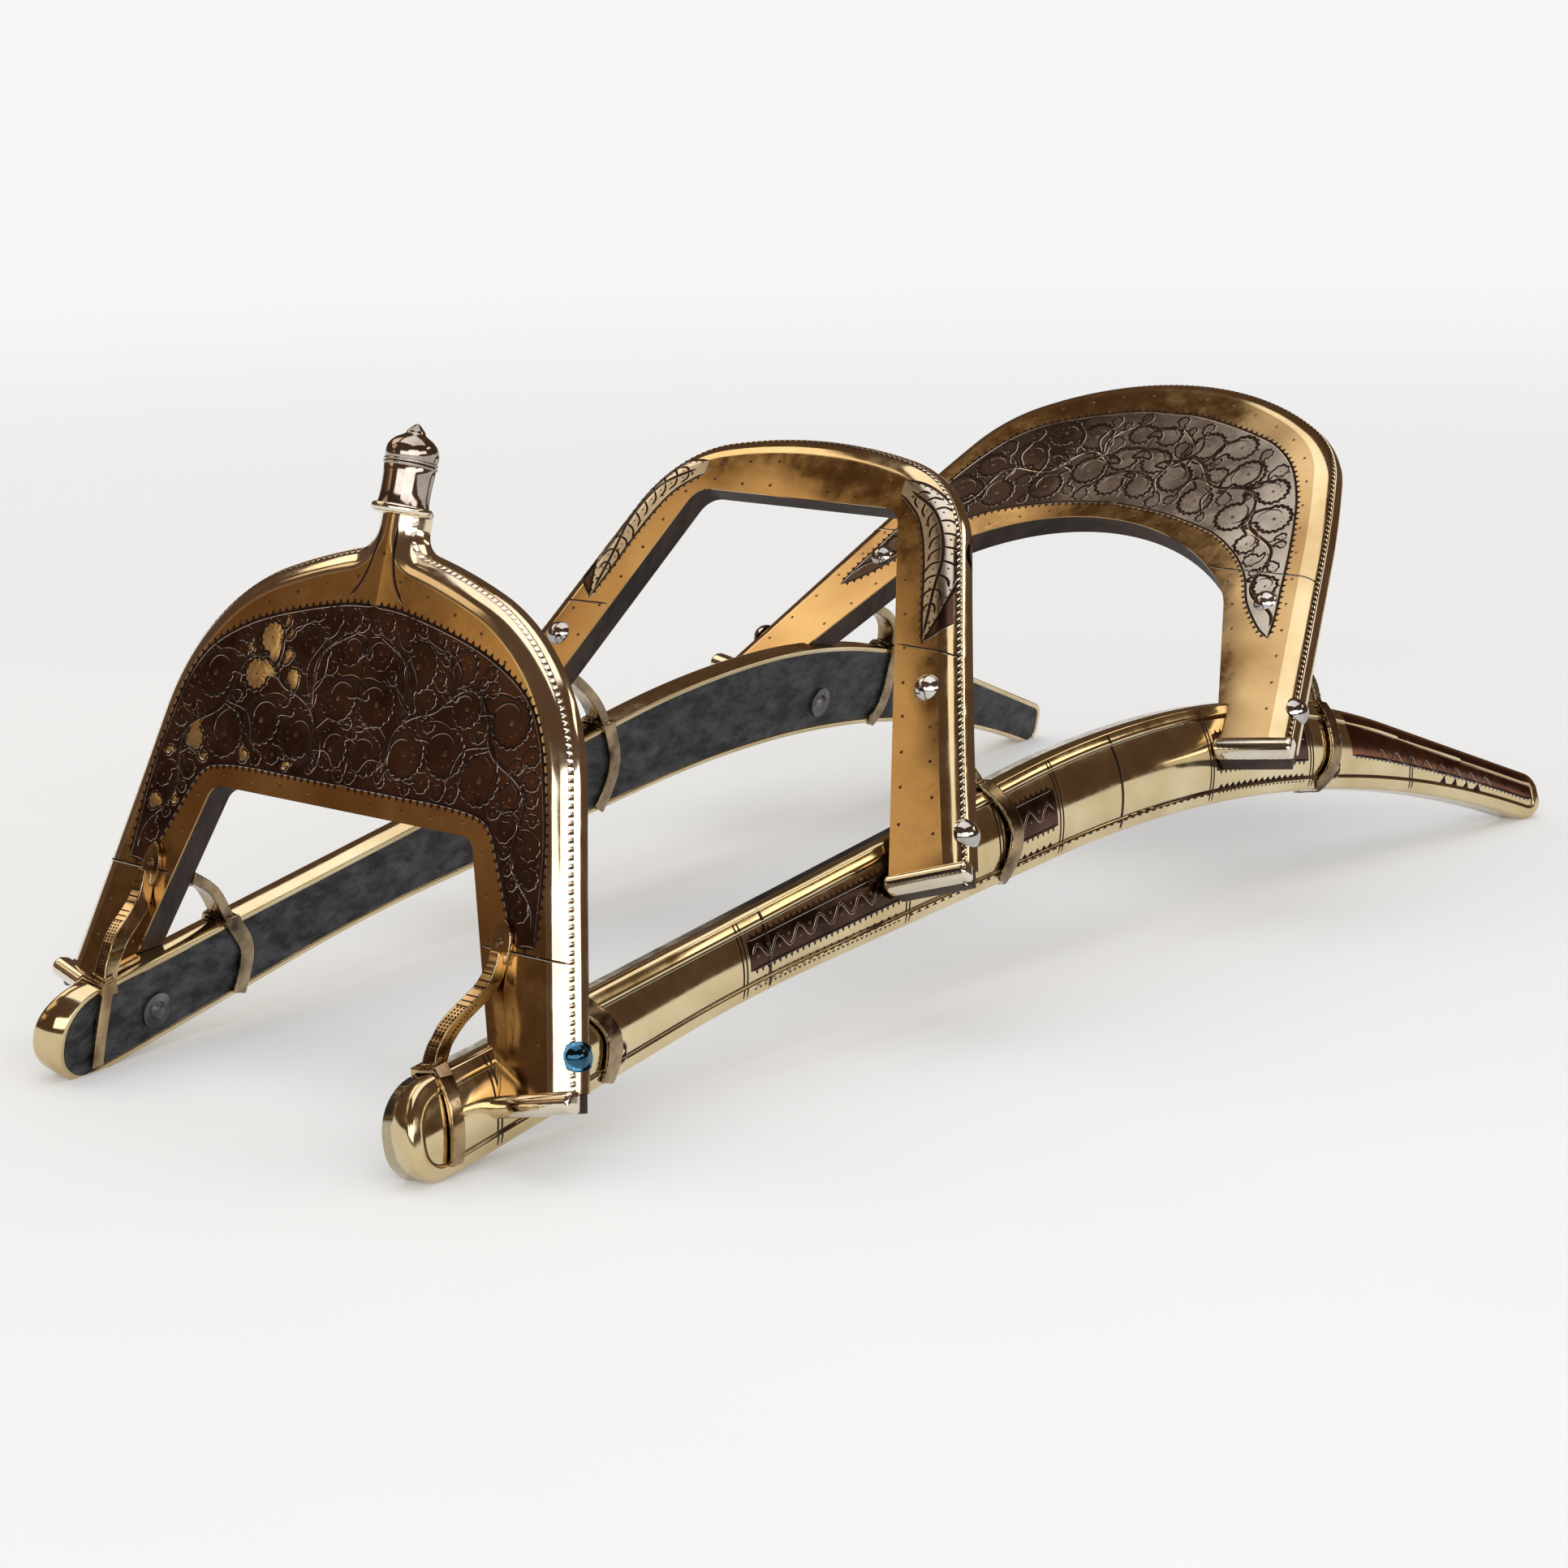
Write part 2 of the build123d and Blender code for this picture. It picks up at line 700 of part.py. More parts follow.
collar_top = collar_height
sleeve_end = collar_top + sleeve_height
post_end = collar_top + post_rise
rim_low = sleeve_end + cap_groove_height
rim_high = rim_low + cap_rim_height
cap_end = sleeve_end + cap_height
collar = turned(
    [
        (0, 0),
        (collar_neck, 0),
        (collar_flare, collar_top - collar_lip),
        (collar_flare, collar_top),
        (0, collar_top),
    ],
    post_radius + gap,
)
sleeve_room = shaft(post_radius + gap, -skirt, post_end)
sleeve_profile = [
    Line((0, collar_top), (sleeve_foot, collar_top)),
    ThreePointArc(
        (sleeve_foot, collar_top), (sleeve_waist, (collar_top + sleeve_end) / 2), (sleeve_top, sleeve_end)
    ),
    Line((sleeve_top, sleeve_end), (0, sleeve_end)),
    Line((0, sleeve_end), (0, collar_top)),
]
sleeve = revolve(Plane.XZ * closed_face(sleeve_profile), axis=Axis.Z) - sleeve_room
cap_profile = [
    Line((0, sleeve_end), (cap_groove, sleeve_end)),
    Line((cap_groove, sleeve_end), (cap_groove, rim_low)),
    Line((cap_groove, rim_low), (cap_rim, rim_low)),
    Line((cap_rim, rim_low), (cap_rim, rim_high)),
    Spline((cap_rim, rim_high), (cap_rim * cap_shoulder_share, rim_high + cap_shoulder), (cap_tip, cap_end)),
    Line((cap_tip, cap_end), (0, cap_end)),
    Line((0, cap_end), (0, sleeve_end)),
]
cap = revolve(Plane.XZ * closed_face(cap_profile), axis=Axis.Z)
finial_pieces = {
    "finial_post": shaft(post_radius, -post_sink, post_end),
    "finial_collar": collar,
    "finial_sleeve": sleeve,
    "finial_cap": cap,
}
for name, piece in finial_pieces.items():
    nodes[name] = arches["front"]["plane"].location * finial_axis * piece


# Straps that grip a runner, in the runner's own axes
strap_hull = runner_solid(gap + strap_thickness)
strap_shell = strap_hull - clear_runner
mid_plane = Pos(0, 0, -runner_thickness / 2)


def swept_bar(path, width, thickness):
    section = Plane(origin=path @ 0, x_dir=(0, 0, 1), z_dir=path % 0) * Rectangle(width, thickness)
    return mid_plane * sweep(section, path=path)


def brace(name):
    # A flat bar from the back of the left leg that forks over the runner.
    arch = arches[name]
    path = Spline(*arch["brace"])
    bar = swept_bar(path, brace_width, brace_thickness) - clear_runner
    fork = swept_bar(path, strap_span, strap_width) & strap_shell
    board_room = arch["plane"].location * Pos(0, 0, -arch_thickness) * Rot(180, 0, 0) * half_space
    body = on_runner(bar + fork, 0) - board_room
    half, low, high, nail = arch["tab"]
    tab = Pos(half, (low + high) / 2, -arch_thickness - tab_thickness / 2) * Box(
        tab_width, high - low, tab_thickness
    )
    hole = Pos(half, nail, 0) * shaft(rivet_shank + gap, -reach / 2, reach / 2)
    placed = arch["plane"].location
    return body + placed * tab - placed * hole


def hook():
    # The left gooseneck: a bent riser, a nailed leaf and a forked strap.
    front = arches["front"]
    fore = counted_from(front_y, hook_front)
    aft = counted_from(front_y, hook_back)
    side = closed_face([Spline(*fore), Line(fore[-1], aft[-1]), Spline(*aft), Line(aft[0], fore[0])])
    face = closed_face(
        [
            Spline(*hook_inner),
            Line(hook_inner[-1], hook_outer[-1]),
            Spline(*hook_outer),
            Line(hook_outer[0], hook_inner[0]),
        ]
    )
    riser = (Plane.YZ * slab(side, 0, reach)) & (Plane.XZ * slab(face, 0, reach))
    leaf_outline = [
        ThreePointArc((0, leaf_low), (leaf_width / 2, leaf_wide_at), (0, leaf_high)),
        ThreePointArc((0, leaf_low), (-leaf_width / 2, leaf_wide_at), (0, leaf_high)),
    ]
    leaf = front["plane"].location * Pos(leaf_half, 0, 0) * slab(closed_face(leaf_outline), 0, leaf_thickness)
    strap_path = Spline(*counted_from(front_y, hook_strap_path))
    strap = swept_bar(strap_path, strap_span, hook_strap_width) & strap_shell
    riser = riser - on_runner(clear_runner, 0)
    body = riser + on_runner(strap, 0) + leaf - front["plane"].location * half_space
    hole = Pos(leaf_half, leaf_nail_at, 0) * shaft(leaf_nail_shank + gap, -reach, reach)
    return body - front["plane"].location * hole


for name in arches:
    body = brace(name)
    nodes["left_" + name + "_brace"] = body
    nodes["right_" + name + "_brace"] = mirror(body, about=Plane.YZ)
hook_body = hook()
nodes["left_gooseneck"] = hook_body
nodes["right_gooseneck"] = mirror(hook_body, about=Plane.YZ)


# Bolts, washers, rivets and nails
washer = shaft(washer_radius, -washer_thickness, 0) - shaft(bolt_radius + gap, -reach, reach)
washers = []
inner_end = -runner_thickness - washer_thickness
bolt = shaft(bolt_radius, inner_end, bolt_bite - gap)
bolt = bolt + Pos(0, 0, inner_end) * Rot(180, 0, 0) * dome(peen_radius, peen_height)
stud = dome(stud_radius, stud_height)
stud_pin = shaft(stud_shank, -stud_length + gap, stud_height / 2)
for name, arch in arches.items():
    bolt_group = []
    stud_group = []
    for side in (0, 1):
        bolt_group.append(on_runner(bolts[name] * bolt, side))
        washers.append(on_runner(bolts[name] * Pos(0, 0, -runner_thickness) * washer, side))
        cap_part = arch["plane"].location * at_stud(name, stud, side) - arch_covers[name]
        cap_part = cap_part - nodes[side_names[side] + "_" + name + "_foot_bar"]
        stud_group.append(cap_part + arch["plane"].location * at_stud(name, stud_pin, side))
    nodes[name + "_leg_bolts"] = Compound([single(item) for item in bolt_group])
    nodes[name + "_leg_studs"] = Compound([single(item) for item in stud_group])
nodes["bolt_washers"] = Compound([single(item) for item in washers])

tab_back = -arch_thickness - tab_thickness
for name in ("middle", "rear"):
    half, low, high, nail = arches[name]["tab"]
    rivet = dome(rivet_radius, rivet_height) + shaft(rivet_shank, tab_back, 0)
    rivet = rivet + Pos(0, 0, tab_back) * Rot(180, 0, 0) * dome(tab_nail_radius, tab_nail_height)
    pair = both_sides(Pos(half, nail, 0) * rivet)
    nodes[name + "_leg_rivets"] = Compound([single(arches[name]["plane"].location * item) for item in pair])
half, low, high, nail = arches["front"]["tab"]
tab_nail = Rot(180, 0, 0) * dome(tab_nail_radius, tab_nail_height) + shaft(
    rivet_shank, 0, tab_thickness + leaf_nail_sink
)
pair = both_sides(Pos(half, nail, tab_back) * tab_nail)
nodes["front_brace_nails"] = Compound([single(arches["front"]["plane"].location * item) for item in pair])
leaf_nail = dome(leaf_nail_radius, leaf_nail_height) + shaft(leaf_nail_shank, -leaf_nail_sink, 0)
pair = both_sides(Pos(leaf_half, leaf_nail_at, leaf_thickness) * leaf_nail)
nodes["gooseneck_nails"] = Compound([single(arches["front"]["plane"].location * item) for item in pair])

# Puts the middle of the stool's length over the origin and writes the pieces
centring = Pos(0, (runner_nose_reach - runner_tail_reach) / 2, 0)
for name, shape in nodes.items():
    export_step(centring * shape, "parts/" + name + ".step")
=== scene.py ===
import math
import random

import bmesh
import bpy
import numpy as np
from mathutils import Matrix, Vector
from mathutils.bvhtree import BVHTree


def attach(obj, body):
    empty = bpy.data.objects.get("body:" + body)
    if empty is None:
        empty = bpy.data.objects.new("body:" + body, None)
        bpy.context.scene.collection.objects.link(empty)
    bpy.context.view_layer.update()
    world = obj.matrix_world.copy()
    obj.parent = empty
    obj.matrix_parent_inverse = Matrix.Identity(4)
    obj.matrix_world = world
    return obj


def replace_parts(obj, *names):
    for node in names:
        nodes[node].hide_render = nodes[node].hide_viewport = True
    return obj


# Camel saddle stool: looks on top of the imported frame.
# Shapes are worked out in millimetres on flat planes and then placed in metres.
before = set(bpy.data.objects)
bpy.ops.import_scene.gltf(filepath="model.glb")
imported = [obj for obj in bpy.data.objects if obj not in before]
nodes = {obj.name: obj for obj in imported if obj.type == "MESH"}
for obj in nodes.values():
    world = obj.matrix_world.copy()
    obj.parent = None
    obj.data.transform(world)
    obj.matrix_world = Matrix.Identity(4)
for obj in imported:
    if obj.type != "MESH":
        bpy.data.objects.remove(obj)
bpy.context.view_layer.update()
MM = 0.001
# Lengthwise places are counted from a point this far behind the frame's origin.
SHIFT = 3.0
rng = random.Random(7)


# Planes of the runners and arches
class Board:
    """A flat board: first value across or along, second up, third out of its face."""

    def __init__(self, origin, x_dir, z_dir):
        self.origin = np.array(origin, float)
        self.x = np.array(x_dir, float)
        self.x /= np.linalg.norm(self.x)
        self.z = np.array(z_dir, float)
        self.z /= np.linalg.norm(self.z)
        self.y = np.cross(self.z, self.x)

    def world(self, points, side=1):
        p = np.asarray(points, float)
        q = self.origin + p[:, :1] * self.x + p[:, 1:2] * self.y + p[:, 2:3] * self.z
        return q * np.array([side, 1, 1]) * MM


def leaning(lean, y):
    a = math.radians(lean)
    return Board((0, y + SHIFT, 0), (1, 0, 0), (0, -math.cos(a), math.sin(a)))


# The runners' planes: half of their distance, splay towards the tail, lean outwards
HALF_SPREAD = 142
SPLAY = 0.077
RUNNER_LEAN = 0.192
runner = Board((HALF_SPREAD, SHIFT, 0), (SPLAY, 1, 0), (1, -SPLAY, RUNNER_LEAN))


# Outlines from arcs and straight runs, the same as in the frame
def chain(start, heading, bends, run, step=2.0):
    # A bend is a radius and a turn in degrees, or 0 and the length of a straight run.
    angle = math.radians(heading)
    x, y = start
    points = [(x, y)]
    for radius, turn in list(bends) + [(0, run)]:
        if radius == 0:
            count = max(1, int(turn / step))
            for k in range(1, count + 1):
                far = turn * k / count
                points.append((x + far * math.cos(angle), y + far * math.sin(angle)))
            x, y = points[-1]
            continue
        bow = radius if turn > 0 else -radius
        centre = (x - bow * math.sin(angle), y + bow * math.cos(angle))
        sweep = math.radians(turn)
        count = max(3, int(abs(sweep) * radius / step), int(abs(turn) / 3))
        for k in range(1, count + 1):
            a = angle + sweep * k / count
            points.append((centre[0] + bow * math.sin(a), centre[1] - bow * math.cos(a)))
        x, y = points[-1]
        angle += sweep
    return np.array(points)


def directions(points):
    # Unit steps along a line of points.
    d = np.gradient(points, axis=0)
    return d / (np.linalg.norm(d, axis=1)[:, None] + 1e-12)


def normals(points):
    # Unit normals to the left of a line of points.
    d = directions(points)
    return np.stack([-d[:, 1], d[:, 0]], 1)


def distance(points, line):
    # Least distance of each point from a line of points.
    a, b = line[:-1], line[1:]
    d = b - a
    length = (d**2).sum(1) + 1e-12
    rel = points[:, None, :] - a[None]
    t = np.clip((rel * d).sum(2) / length, 0, 1)
    near = a + t[..., None] * d
    return np.sqrt(((points[:, None, :] - near) ** 2).sum(2)).min(1)


def raised(points, height):
    # Plane points with one height for all of them.
    return np.column_stack([points, np.full(len(points), height)])


def inside(points, polygon):
    # Which of the points lie inside a closed polygon.
    x, y = points[:, 0], points[:, 1]
    result = np.zeros(len(points), bool)
    for (x1, y1), (x2, y2) in zip(polygon, np.roll(polygon, -1, 0)):
        cross = (y1 > y) != (y2 > y)
        with np.errstate(divide="ignore", invalid="ignore"):
            at = (x2 - x1) * (y - y1) / (y2 - y1) + x1
        result ^= cross & (x < at)
    return result


def lengths_along(points):
    # Distance along a line from its first point to each point.
    return np.concatenate([[0], np.cumsum(np.linalg.norm(np.diff(points, axis=0), axis=1))])


def at_lengths(lengths, along, points):
    # Places on a line of points, given by their distance along it.
    return np.stack([np.interp(lengths, along, points[:, k]) for k in (0, 1)], 1)


def even(points, count):
    # A line of points with the same distance between them.
    points = np.asarray(points, float)
    along = lengths_along(points)
    return at_lengths(np.linspace(0, along[-1], count), along, points)


def resample(points, step):
    # The same, with about one step between them.
    points = np.asarray(points, float)
    return even(points, max(2, int(lengths_along(points)[-1] / step) + 1))


# An arch has a plane, and its left half is drawn there as two chains: the outline and the opening.
# foot: half of the feet's distance, height up the arch, slope of the sole, height of the foot bar.
# seam: height of the seam between the crown sheet and the leg sheets.
ARCHES = {
    "front": dict(
        plane=leaning(17.6, -360.0),
        outline=((12.5, 250.0), -90, [(0, 5.0), (9.5, 78.0), (303.0, -8.1), (99.4, -56.6), (2760.0, 1.3)]),
        gap=((0, 125.5), 0, [(0, 72.4), (8.0, -69.9)]),
        foot=dict(half=116.5, rise=20.3, slope=14.0, bar=7.6),
        seam=85.0,
    ),
    "middle": dict(
        plane=leaning(33.6, -166.0),
        outline=((0, 288.5), 0, [(267.5, -11.8), (64.2, -56.0), (3900.0, 2.7)]),
        gap=((0, 254.5), 0, [(0, 53.5), (12.0, -68.5)]),
        foot=dict(half=132.3, rise=75.3, slope=19.6, bar=7.4),
        seam=189.0,
    ),
    "rear": dict(
        plane=leaning(52.4, 8.4),
        outline=((0, 386.0), 0, [(167.7, -31.8), (75.0, -35.1), (754.0, -4.6)]),
        gap=((0, 278.0), 0, [(132.2, -42.8), (52.1, -21.9)]),
        foot=dict(half=142.5, rise=133.8, slope=10.6, bar=9.0),
        seam=252.0,
    ),
}
LEG_RUN = 260.0
BOARD_THICKNESS = 12.0
EDGE_REACH = 11.6
STRIP_THICKNESS = 0.6
ROUNDING = EDGE_REACH - STRIP_THICKNESS
# The side strip's scallops start this deep under the face.
STRIP_START = 5.5
SHEET = 0.8
for arch in ARCHES.values():
    arch["line"] = chain(*arch["outline"], LEG_RUN)
    arch["gap_line"] = chain(*arch["gap"], LEG_RUN)


def arch_height(arch, points):
    # Height of the sheet's face over an arch's plane, the same on both halves.
    p = np.abs(points * np.array([1, 0])) + points * np.array([0, 1])
    d = np.minimum(distance(p, arch["line"]), EDGE_REACH)
    return -ROUNDING + np.sqrt(np.maximum(ROUNDING**2 - (EDGE_REACH - d) ** 2, 0))


# Runner surface, the same formulas as in the frame
NOSE = -398.0
TAIL = 392.0
# Its long edges: crest and bends, the side that they face, and the radii at nose and tail
TOP = dict(crest=88.0, rise=105.9, side=1, nose_radius=22.0, tail_radius=9.0)
TOP.update(to_nose=[(700.0, 9.0)], to_tail=[(480.0, 21.5)])
BELLY = dict(crest=85.0, rise=57.0, side=-1, nose_radius=16.5, tail_radius=9.5)
BELLY.update(to_nose=[(900.0, 5.5), (0, 164.0), (900.0, 5.5)], to_tail=[(790.0, 25.0)])
RUNNER_THICKNESS = 10.0
SWELL_SHARE = 0.3
LAP = 7.0


def edge_drop(away, bends):
    # How far an edge has dropped at a distance from its crest.
    angle, drop = 0.0, 0.0
    for radius, turn in bends:
        if radius == 0:
            step = min(away, turn * math.cos(angle))
            drop += step * math.tan(angle)
        else:
            full = radius * (math.sin(angle + math.radians(turn)) - math.sin(angle))
            step = min(away, full)
            later = math.asin(math.sin(angle) + step / radius)
            drop += radius * (math.cos(angle) - math.cos(later))
            angle = later
        away -= step
    return drop + away * math.tan(angle)


def edge_height(a, edge):
    bends = edge["to_tail"] if a > edge["crest"] else edge["to_nose"]
    return edge["rise"] - edge_drop(abs(a - edge["crest"]), bends)


def rounded_end(a, end, radius, edge, sign):
    # Height of an edge that is rounded into the upright end of the runner.
    inward = 1 if end < 0 else -1
    middle = end + inward * radius
    angle = math.atan((edge(middle + 0.5) - edge(middle - 0.5)) * inward)
    if (a - middle) * inward + sign * radius * math.sin(angle) >= 0:
        return edge(a)
    centre = edge(middle) - sign * radius / math.cos(angle)
    return centre + sign * math.sqrt(max(radius**2 - (a - middle) ** 2, 0))


def runner_limits(a, inset=0.0):
    # The belly's and the top's height at a place along, both moved inwards.
    result = []
    for edge in (BELLY, TOP):
        def moved(v):
            slope = edge_height(v + 0.5, edge) - edge_height(v - 0.5, edge)
            return edge_height(v, edge) - edge["side"] * inset * math.sqrt(1 + slope**2)

        if a < 0:
            end, radius = NOSE + inset, edge["nose_radius"]
        else:
            end, radius = TAIL - inset, edge["tail_radius"]
        result.append(rounded_end(a, end, radius - inset, moved, edge["side"]))
    return result


def runner_height(points):
    # Height of the sheet's face over the runner's plane.
    out = []
    for a, b in points:
        top, low = edge_height(a, TOP), edge_height(a, BELLY)
        half = (top - low) / 2
        swell = SWELL_SHARE * half
        radius = (half**2 + swell**2) / (2 * swell)
        out.append(swell - radius + math.sqrt(max(radius**2 - (b - (top + low) / 2) ** 2, 0)) + SHEET)
    return np.array(out)


def clad_height(points):
    # The same, with the rolled edging's lap on top near both long edges.
    limits = np.array([runner_limits(a) for a, b in points])
    room = np.minimum(points[:, 1] - limits[:, 0], limits[:, 1] - points[:, 1])
    return runner_height(points) + np.where(room < LAP, SHEET, 0.0)


# Materials
def material(name, color, metallic=0.0, rough=0.5):
    m = bpy.data.materials.new(name)
    m.use_nodes = True
    shader = m.node_tree.nodes["Principled BSDF"]
    shader.inputs["Base Color"].default_value = (*color, 1)
    shader.inputs["Metallic"].default_value = metallic
    shader.inputs["Roughness"].default_value = rough
    return m, m.node_tree, shader


def add(tree, kind, **values):
    # A shader node. A value is a setting, an input's constant, or a socket to link it to.
    node = tree.nodes.new("ShaderNode" + kind)
    for key, value in values.items():
        if key not in node.inputs:
            setattr(node, key, value)
        elif isinstance(value, bpy.types.NodeSocket):
            tree.links.new(value, node.inputs[key])
        else:
            node.inputs[key].default_value = value
    return node


def noise(tree, scale, detail=4.0, rough=0.55):
    where = add(tree, "TexCoord").outputs["Object"]
    node = add(tree, "TexNoise", Scale=scale, Detail=detail, Roughness=rough, Vector=where)
    return node.outputs["Fac"]


def ramp(tree, source, stops):
    node = add(tree, "ValToRGB", Fac=source)
    bar = node.color_ramp
    while len(bar.elements) < len(stops):
        bar.elements.new(0.5)
    for element, (place, color) in zip(bar.elements, stops):
        element.position = place
        element.color = (*color, 1)
    return node.outputs["Color"]


def remap(tree, source, low, high, to_low=0.0, to_high=1.0):
    # Spreads the values from low to high over a new range.
    node = add(tree, "MapRange", Value=source)
    for key, value in (("From Min", low), ("From Max", high), ("To Min", to_low), ("To Max", to_high)):
        node.inputs[key].default_value = value
    return node.outputs["Result"]


def bump(tree, shader, source, strength, depth):
    node = add(tree, "Bump", Strength=strength, Distance=depth, Height=source)
    tree.links.new(node.outputs["Normal"], shader.inputs["Normal"])


def metal(name, dark, light, rough_low, rough_high, wave=0.35, scale=22.0):
    # Old polished metal: drifting colour, smears in the polish, wavy sheet.
    m, tree, shader = material(name, light, 1.0, rough_low)
    tree.links.new(ramp(tree, noise(tree, scale), [(0.3, dark), (0.68, light)]), shader.inputs["Base Color"])
    smears = remap(tree, noise(tree, scale * 4, 6.0, 0.7), 0.35, 0.75, rough_low, rough_high)
    tree.links.new(smears, shader.inputs["Roughness"])
    bump(tree, shader, noise(tree, 16.0, 1.0, 0.3), wave, 0.004)
    return m


def darkened_to_one_side(finish, dark_x, clean_x, dark_tone):
    # A darker colour on the low-x side that fades out across the object, with a cloudy border.
    tree = finish.node_tree
    shader = tree.nodes["Principled BSDF"]
    clean = shader.inputs["Base Color"].links[0].from_socket
    where = add(tree, "TexCoord").outputs["Object"]
    axes = add(tree, "SeparateXYZ", Vector=where)
    cloudy = add(tree, "Math", operation="MULTIPLY_ADD")
    tree.links.new(noise(tree, 24.0), cloudy.inputs[0])
    cloudy.inputs[1].default_value = 0.9
    tree.links.new(remap(tree, axes.outputs["X"], dark_x, clean_x), cloudy.inputs[2])
    both = add(tree, "Mix", data_type="RGBA")
    tree.links.new(remap(tree, cloudy.outputs["Value"], 0.7, 1.3), both.inputs["Factor"])
    both.inputs["A"].default_value = (*dark_tone, 1)
    tree.links.new(clean, both.inputs["B"])
    tree.links.new(both.outputs["Result"], shader.inputs["Base Color"])


def rough_wood(name, dark, light, rough, stretch):
    # Dark open grain, finer along the axes with a larger stretch.
    m, tree, shader = material(name, dark, 0.0, rough)
    where = add(tree, "TexCoord").outputs["Object"]
    place = add(tree, "Mapping", Scale=stretch, Vector=where).outputs["Vector"]
    grain = add(tree, "TexNoise", Scale=9.0, Detail=8.0, Roughness=0.7, Vector=place)
    streaks = ramp(tree, grain.outputs["Fac"], [(0.4, dark), (0.68, light), (0.85, dark)])
    tree.links.new(streaks, shader.inputs["Base Color"])
    shader.inputs["Specular IOR Level"].default_value = 0.25
    bump(tree, shader, grain.outputs["Fac"], 0.5, 0.0006)
    return m


# Dark and light colour, least and most roughness, then the sheet's waviness and the colours' scale
ARCH_BRASS = metal("arch_brass", (0.38, 0.22, 0.085), (0.62, 0.43, 0.2), 0.08, 0.22)
# Paler copies of the arch brass that paint a highlight on the rounded edges: strong on the front arch,
# milder on the middle and rear.
EDGE_HIGHLIGHT_BRASS = metal("edge_brass", (0.68, 0.52, 0.3), (0.9, 0.8, 0.6), 0.06, 0.18)
RIM_HIGHLIGHT_BRASS = metal("rim_highlight_brass", (0.56, 0.4, 0.19), (0.8, 0.64, 0.38), 0.07, 0.2)
RUNNER_BRASS = metal("runner_brass", (0.6, 0.46, 0.24), (0.8, 0.68, 0.44), 0.07, 0.2)
PALE_BRASS = metal("pale_brass", (0.68, 0.6, 0.46), (0.88, 0.82, 0.7), 0.06, 0.18)
DARK_FIELD = metal("dark_field", (0.035, 0.02, 0.016), (0.13, 0.07, 0.05), 0.16, 0.34, 0.5, 30.0)
# Pale gold filled into some leaves as a painted glint of light.
LEAF_GLINT = metal("leaf_glint_gold", (0.42, 0.3, 0.14), (1.0, 0.82, 0.48), 0.1, 0.24, 0.6, 55.0)
FINIAL = metal("finial_metal", (0.18, 0.13, 0.1), (0.56, 0.49, 0.43), 0.06, 0.16, 0.1, 60.0)
RED_FIELD = metal("red_field", (0.09, 0.03, 0.018), (0.3, 0.12, 0.06), 0.14, 0.28, 0.5, 30.0)
GREY_FIELD = metal("grey_field", (0.3, 0.25, 0.2), (0.76, 0.7, 0.6), 0.16, 0.3, 0.4, 13.0)
REAR_FIELD = metal("rear_field", (0.3, 0.25, 0.2), (0.78, 0.71, 0.6), 0.16, 0.3, 0.4, 13.0)
GROOVE = metal("engraved_groove", (0.02, 0.01, 0.008), (0.05, 0.028, 0.02), 0.45, 0.65, 0.1, 60.0)
# A paler lip colour that paints a highlight along one or both lips of the engraved lines.
LIP_HIGHLIGHT = metal("engraved_lip_highlight", (0.3, 0.22, 0.17), (0.62, 0.5, 0.42), 0.14, 0.26, 0.1, 60.0)
IRON = metal("punched_iron", (0.07, 0.045, 0.03), (0.5, 0.38, 0.23), 0.14, 0.3, 0.3, 70.0)
HOOK_BRASS = metal("hook_brass", (0.16, 0.09, 0.045), (0.72, 0.54, 0.3), 0.1, 0.24, 0.3, 45.0)
SILVER = metal("silvered_head", (0.32, 0.3, 0.28), (0.68, 0.65, 0.62), 0.06, 0.16, 0.05, 60.0)
BLUED = metal("blued_head", (0.01, 0.03, 0.06), (0.06, 0.18, 0.28), 0.06, 0.16, 0.05, 90.0)
STEEL = metal("washer_steel", (0.06, 0.06, 0.065), (0.24, 0.23, 0.24), 0.35, 0.55, 0.1, 90.0)
NAIL = metal("nail_head", (0.08, 0.045, 0.025), (0.25, 0.15, 0.08), 0.25, 0.4, 0.1, 90.0)
darkened_to_one_side(REAR_FIELD, dark_x=-0.11, clean_x=0.1, dark_tone=(0.07, 0.045, 0.035))
ARCH_WOOD = rough_wood("arch_wood", (0.014, 0.009, 0.007), (0.06, 0.036, 0.026), 0.5, (1, 6, 1.4))
RUNNER_WOOD = rough_wood("runner_wood", (0.004, 0.0045, 0.006), (0.06, 0.06, 0.062), 0.42, (14, 7, 14))


# Meshes
def new_object(name, data):
    obj = bpy.data.objects.new(name, data)
    bpy.context.scene.collection.objects.link(obj)
    return obj


def mesh_piece(name, verts, faces, mats, face_mats):
    # A smooth piece of the one body. No point of it lies under the ground.
    mesh = bpy.data.meshes.new(name)
    mesh.from_pydata([(v[0], v[1], max(v[2], 0.0)) for v in verts], [], faces)
    mesh.polygons.foreach_set("use_smooth", [True] * len(mesh.polygons))
    for m in mats:
        mesh.materials.append(m)
    mesh.polygons.foreach_set("material_index", face_mats)
    mesh.update()
    obj = new_object(name, mesh)
    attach(obj, "root")
    return obj


